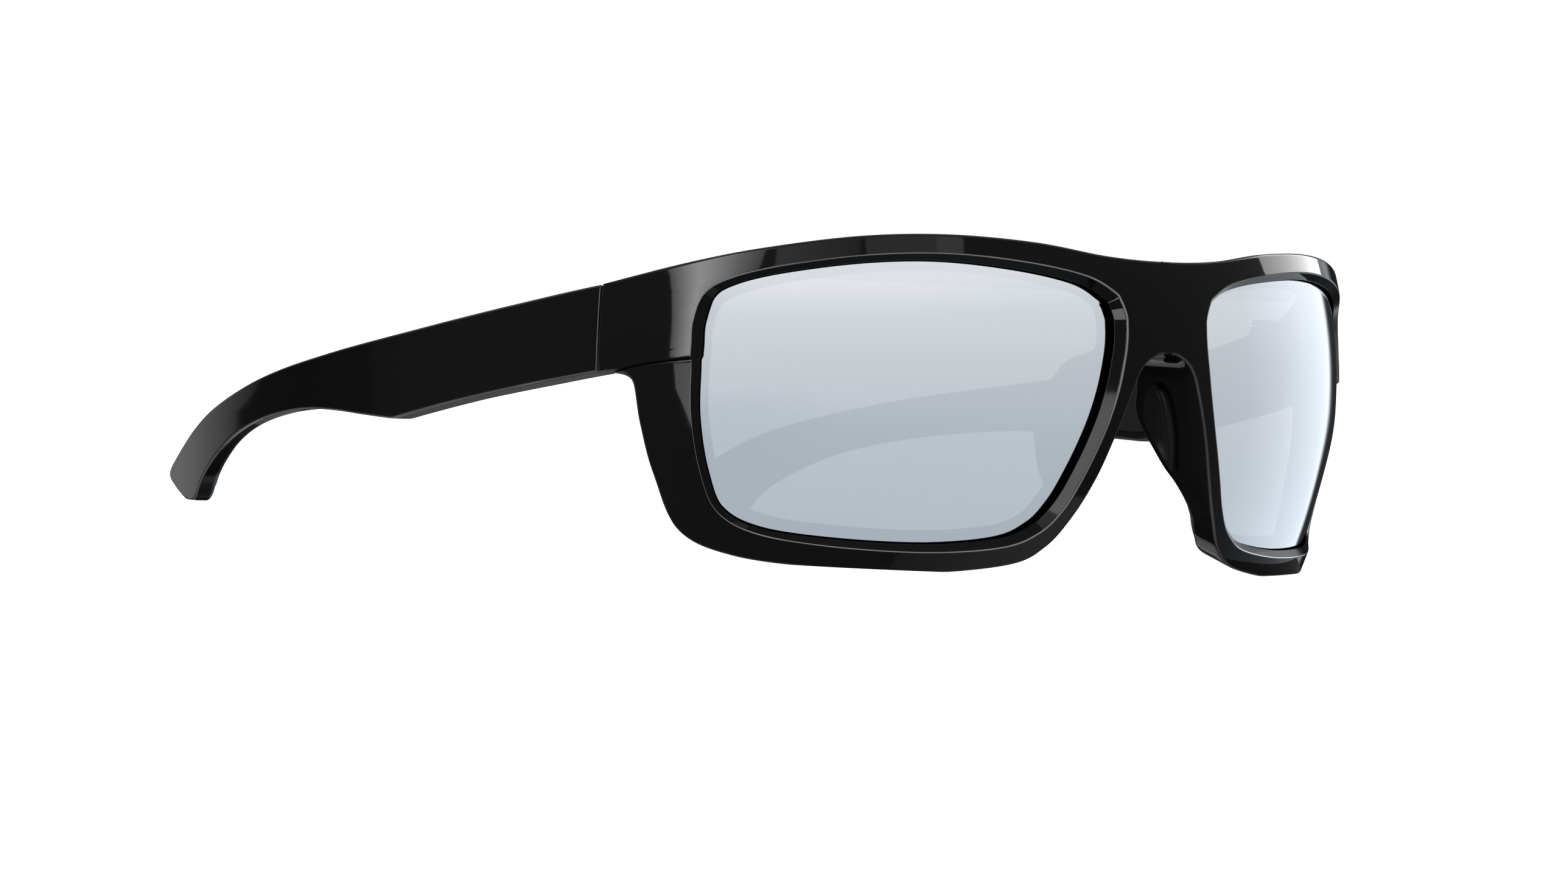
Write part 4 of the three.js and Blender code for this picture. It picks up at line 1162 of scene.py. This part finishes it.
def grip_section(arc):
    low, high = grip_heights(arc, 0.08)
    inner = np.interp(arc, *TEMPLE_THICKNESS.T)
    floor, face = inner - GRIP_SEAT + 0.02, inner + GRIP_PROUD
    bottom_in, bottom_out, top_out, top_in = skin(
        arc, np.array([low, low, high, high]), np.array([floor, face, face, floor]))
    points = [bottom_in] + fillet(bottom_in, bottom_out, top_out, GRIP_EDGE, 4)
    points += [skin(arc, low + (high - low) * share, face) for share in (0.33, 0.67)]
    points += fillet(bottom_out, top_out, top_in, GRIP_EDGE, 4) + [top_in]
    return points


grip_sections = [
    grip_section(arc) for arc in np.arange(GRIP_START + 0.08, GRIP_END - 0.08, GRIP_RING_STEP)
]
for side, piece in side_pieces("grip_strip", *capped_tube(grip_sections)):
    piece.data.set_sharp_from_angle(angle=math.radians(50))
    dress(piece, f"temple_arm_{side}", f"temple_grip_{side}", rubber)

# The hinges are stainless steel. A leaf on each side of the parting line is held by two
# rivets, and a slotted screw goes down through three knuckles.
BEVEL_WIDTH = 0.00009
SCREW_HEAD_HEIGHT = 0.0006
SCREW_SLOT_DEPTH = 0.00028
SCREW_SLOT_WIDTH = 0.0004
SCREW_SIDES = 48
steel, steel_shader = new_material(
    "satin_steel", Base_Color=(0.3, 0.305, 0.31, 1), Metallic=1.0)
finish_with_smears(
    steel_shader, 0.1, 0.00002, Smear_Scale=300.0, Grain_Scale=7000.0, Smooth=0.25, Rough=0.4)


def finish_steel(piece, body, node):
    """Rounds the edges of a steel piece finely and dresses it."""
    for face in piece.data.polygons:
        face.use_smooth = True
    bevel = piece.modifiers.new("edge_round", "BEVEL")
    bevel.width = BEVEL_WIDTH
    bevel.segments = 3
    bevel.limit_method = "ANGLE"
    bevel.angle_limit = math.radians(32)
    bevel.harden_normals = True
    dress(piece, body, node, steel)


# The leaves and rivets are the part's own solids, cleaned and given fine round edges.
HINGE_PIECES = [
    "hinge_front_leaf", "hinge_temple_leaf", "front_rivet_1", "front_rivet_2",
    "temple_rivet_1", "temple_rivet_2",
]
for node in [f"{name}_{side}" for side in ("left", "right") for name in HINGE_PIECES]:
    shape = frame["nodes"][node].data.copy()
    shape.materials.clear()
    piece = add_object(f"steel_{node}", shape)
    work = bmesh.new()
    work.from_mesh(shape)
    bmesh.ops.remove_doubles(work, verts=work.verts, dist=1e-6)
    bmesh.ops.recalc_face_normals(work, faces=work.faces)
    bmesh.ops.dissolve_limit(
        work, angle_limit=math.radians(1), verts=work.verts, edges=work.edges)
    work.to_mesh(shape)
    work.free()
    side = node.split("_")[-1]
    finish_steel(piece, f"temple_arm_{side}" if "temple" in node else "front", node)


def upright_prism(outline, low, high):
    """Points and faces of a flat-ended prism on an outline in the plane."""
    count = len(outline)
    points = [(x, y, z) for z in (low, high) for x, y in outline]
    faces = [tuple(range(count))[::-1], tuple(range(count, 2 * count))]
    faces += [(i, (i + 1) % count, (i + 1) % count + count, i + count) for i in range(count)]
    return points, faces


for side in ("left", "right"):
    node = f"hinge_screw_{side}"
    corners = np.array([v.co for v in frame["nodes"][node].data.vertices])
    pin = next(j for j in frame["joints"] if j["name"] == f"fold_{side}")
    axis = np.array(pin["axis"]) * np.sign(pin["axis"][2])
    along = (corners - pin["pos_m"]) @ axis
    radii = np.linalg.norm(corners - pin["pos_m"] - np.outer(along, axis), axis=1)
    top, bottom, head_radius = along.max(), along.min(), radii.max()
    shank_radius = radii[along < bottom + 1e-5].max()
    rings = np.linspace(0, math.tau, SCREW_SIDES, endpoint=False)
    circle = np.stack([np.cos(rings), np.sin(rings)], 1)
    slot_turn = math.asin(SCREW_SLOT_WIDTH / 2 / head_radius)
    half = np.linspace(slot_turn, math.pi - slot_turn, SCREW_SIDES // 2)
    half_disc = np.stack([np.cos(half), np.sin(half)], 1) * head_radius
    slot_floor = top - SCREW_SLOT_DEPTH
    points, faces = [], []
    for outline, low, high in (
            (circle * shank_radius, bottom, slot_floor),
            (circle * head_radius, top - SCREW_HEAD_HEIGHT, slot_floor),
            (half_disc, slot_floor - 1e-5, top), (-half_disc, slot_floor - 1e-5, top)):
        more_points, more_faces = upright_prism(outline, low, high)
        faces += [tuple(v + len(points) for v in face) for face in more_faces]
        points += more_points
    turn = Vector(axis).to_track_quat("Z", "Y").to_matrix()
    points = [Vector(pin["pos_m"]) + turn @ Vector(point) for point in points]
    finish_steel(new_object(f"slotted_screw_{side}", points, faces), "front", node)
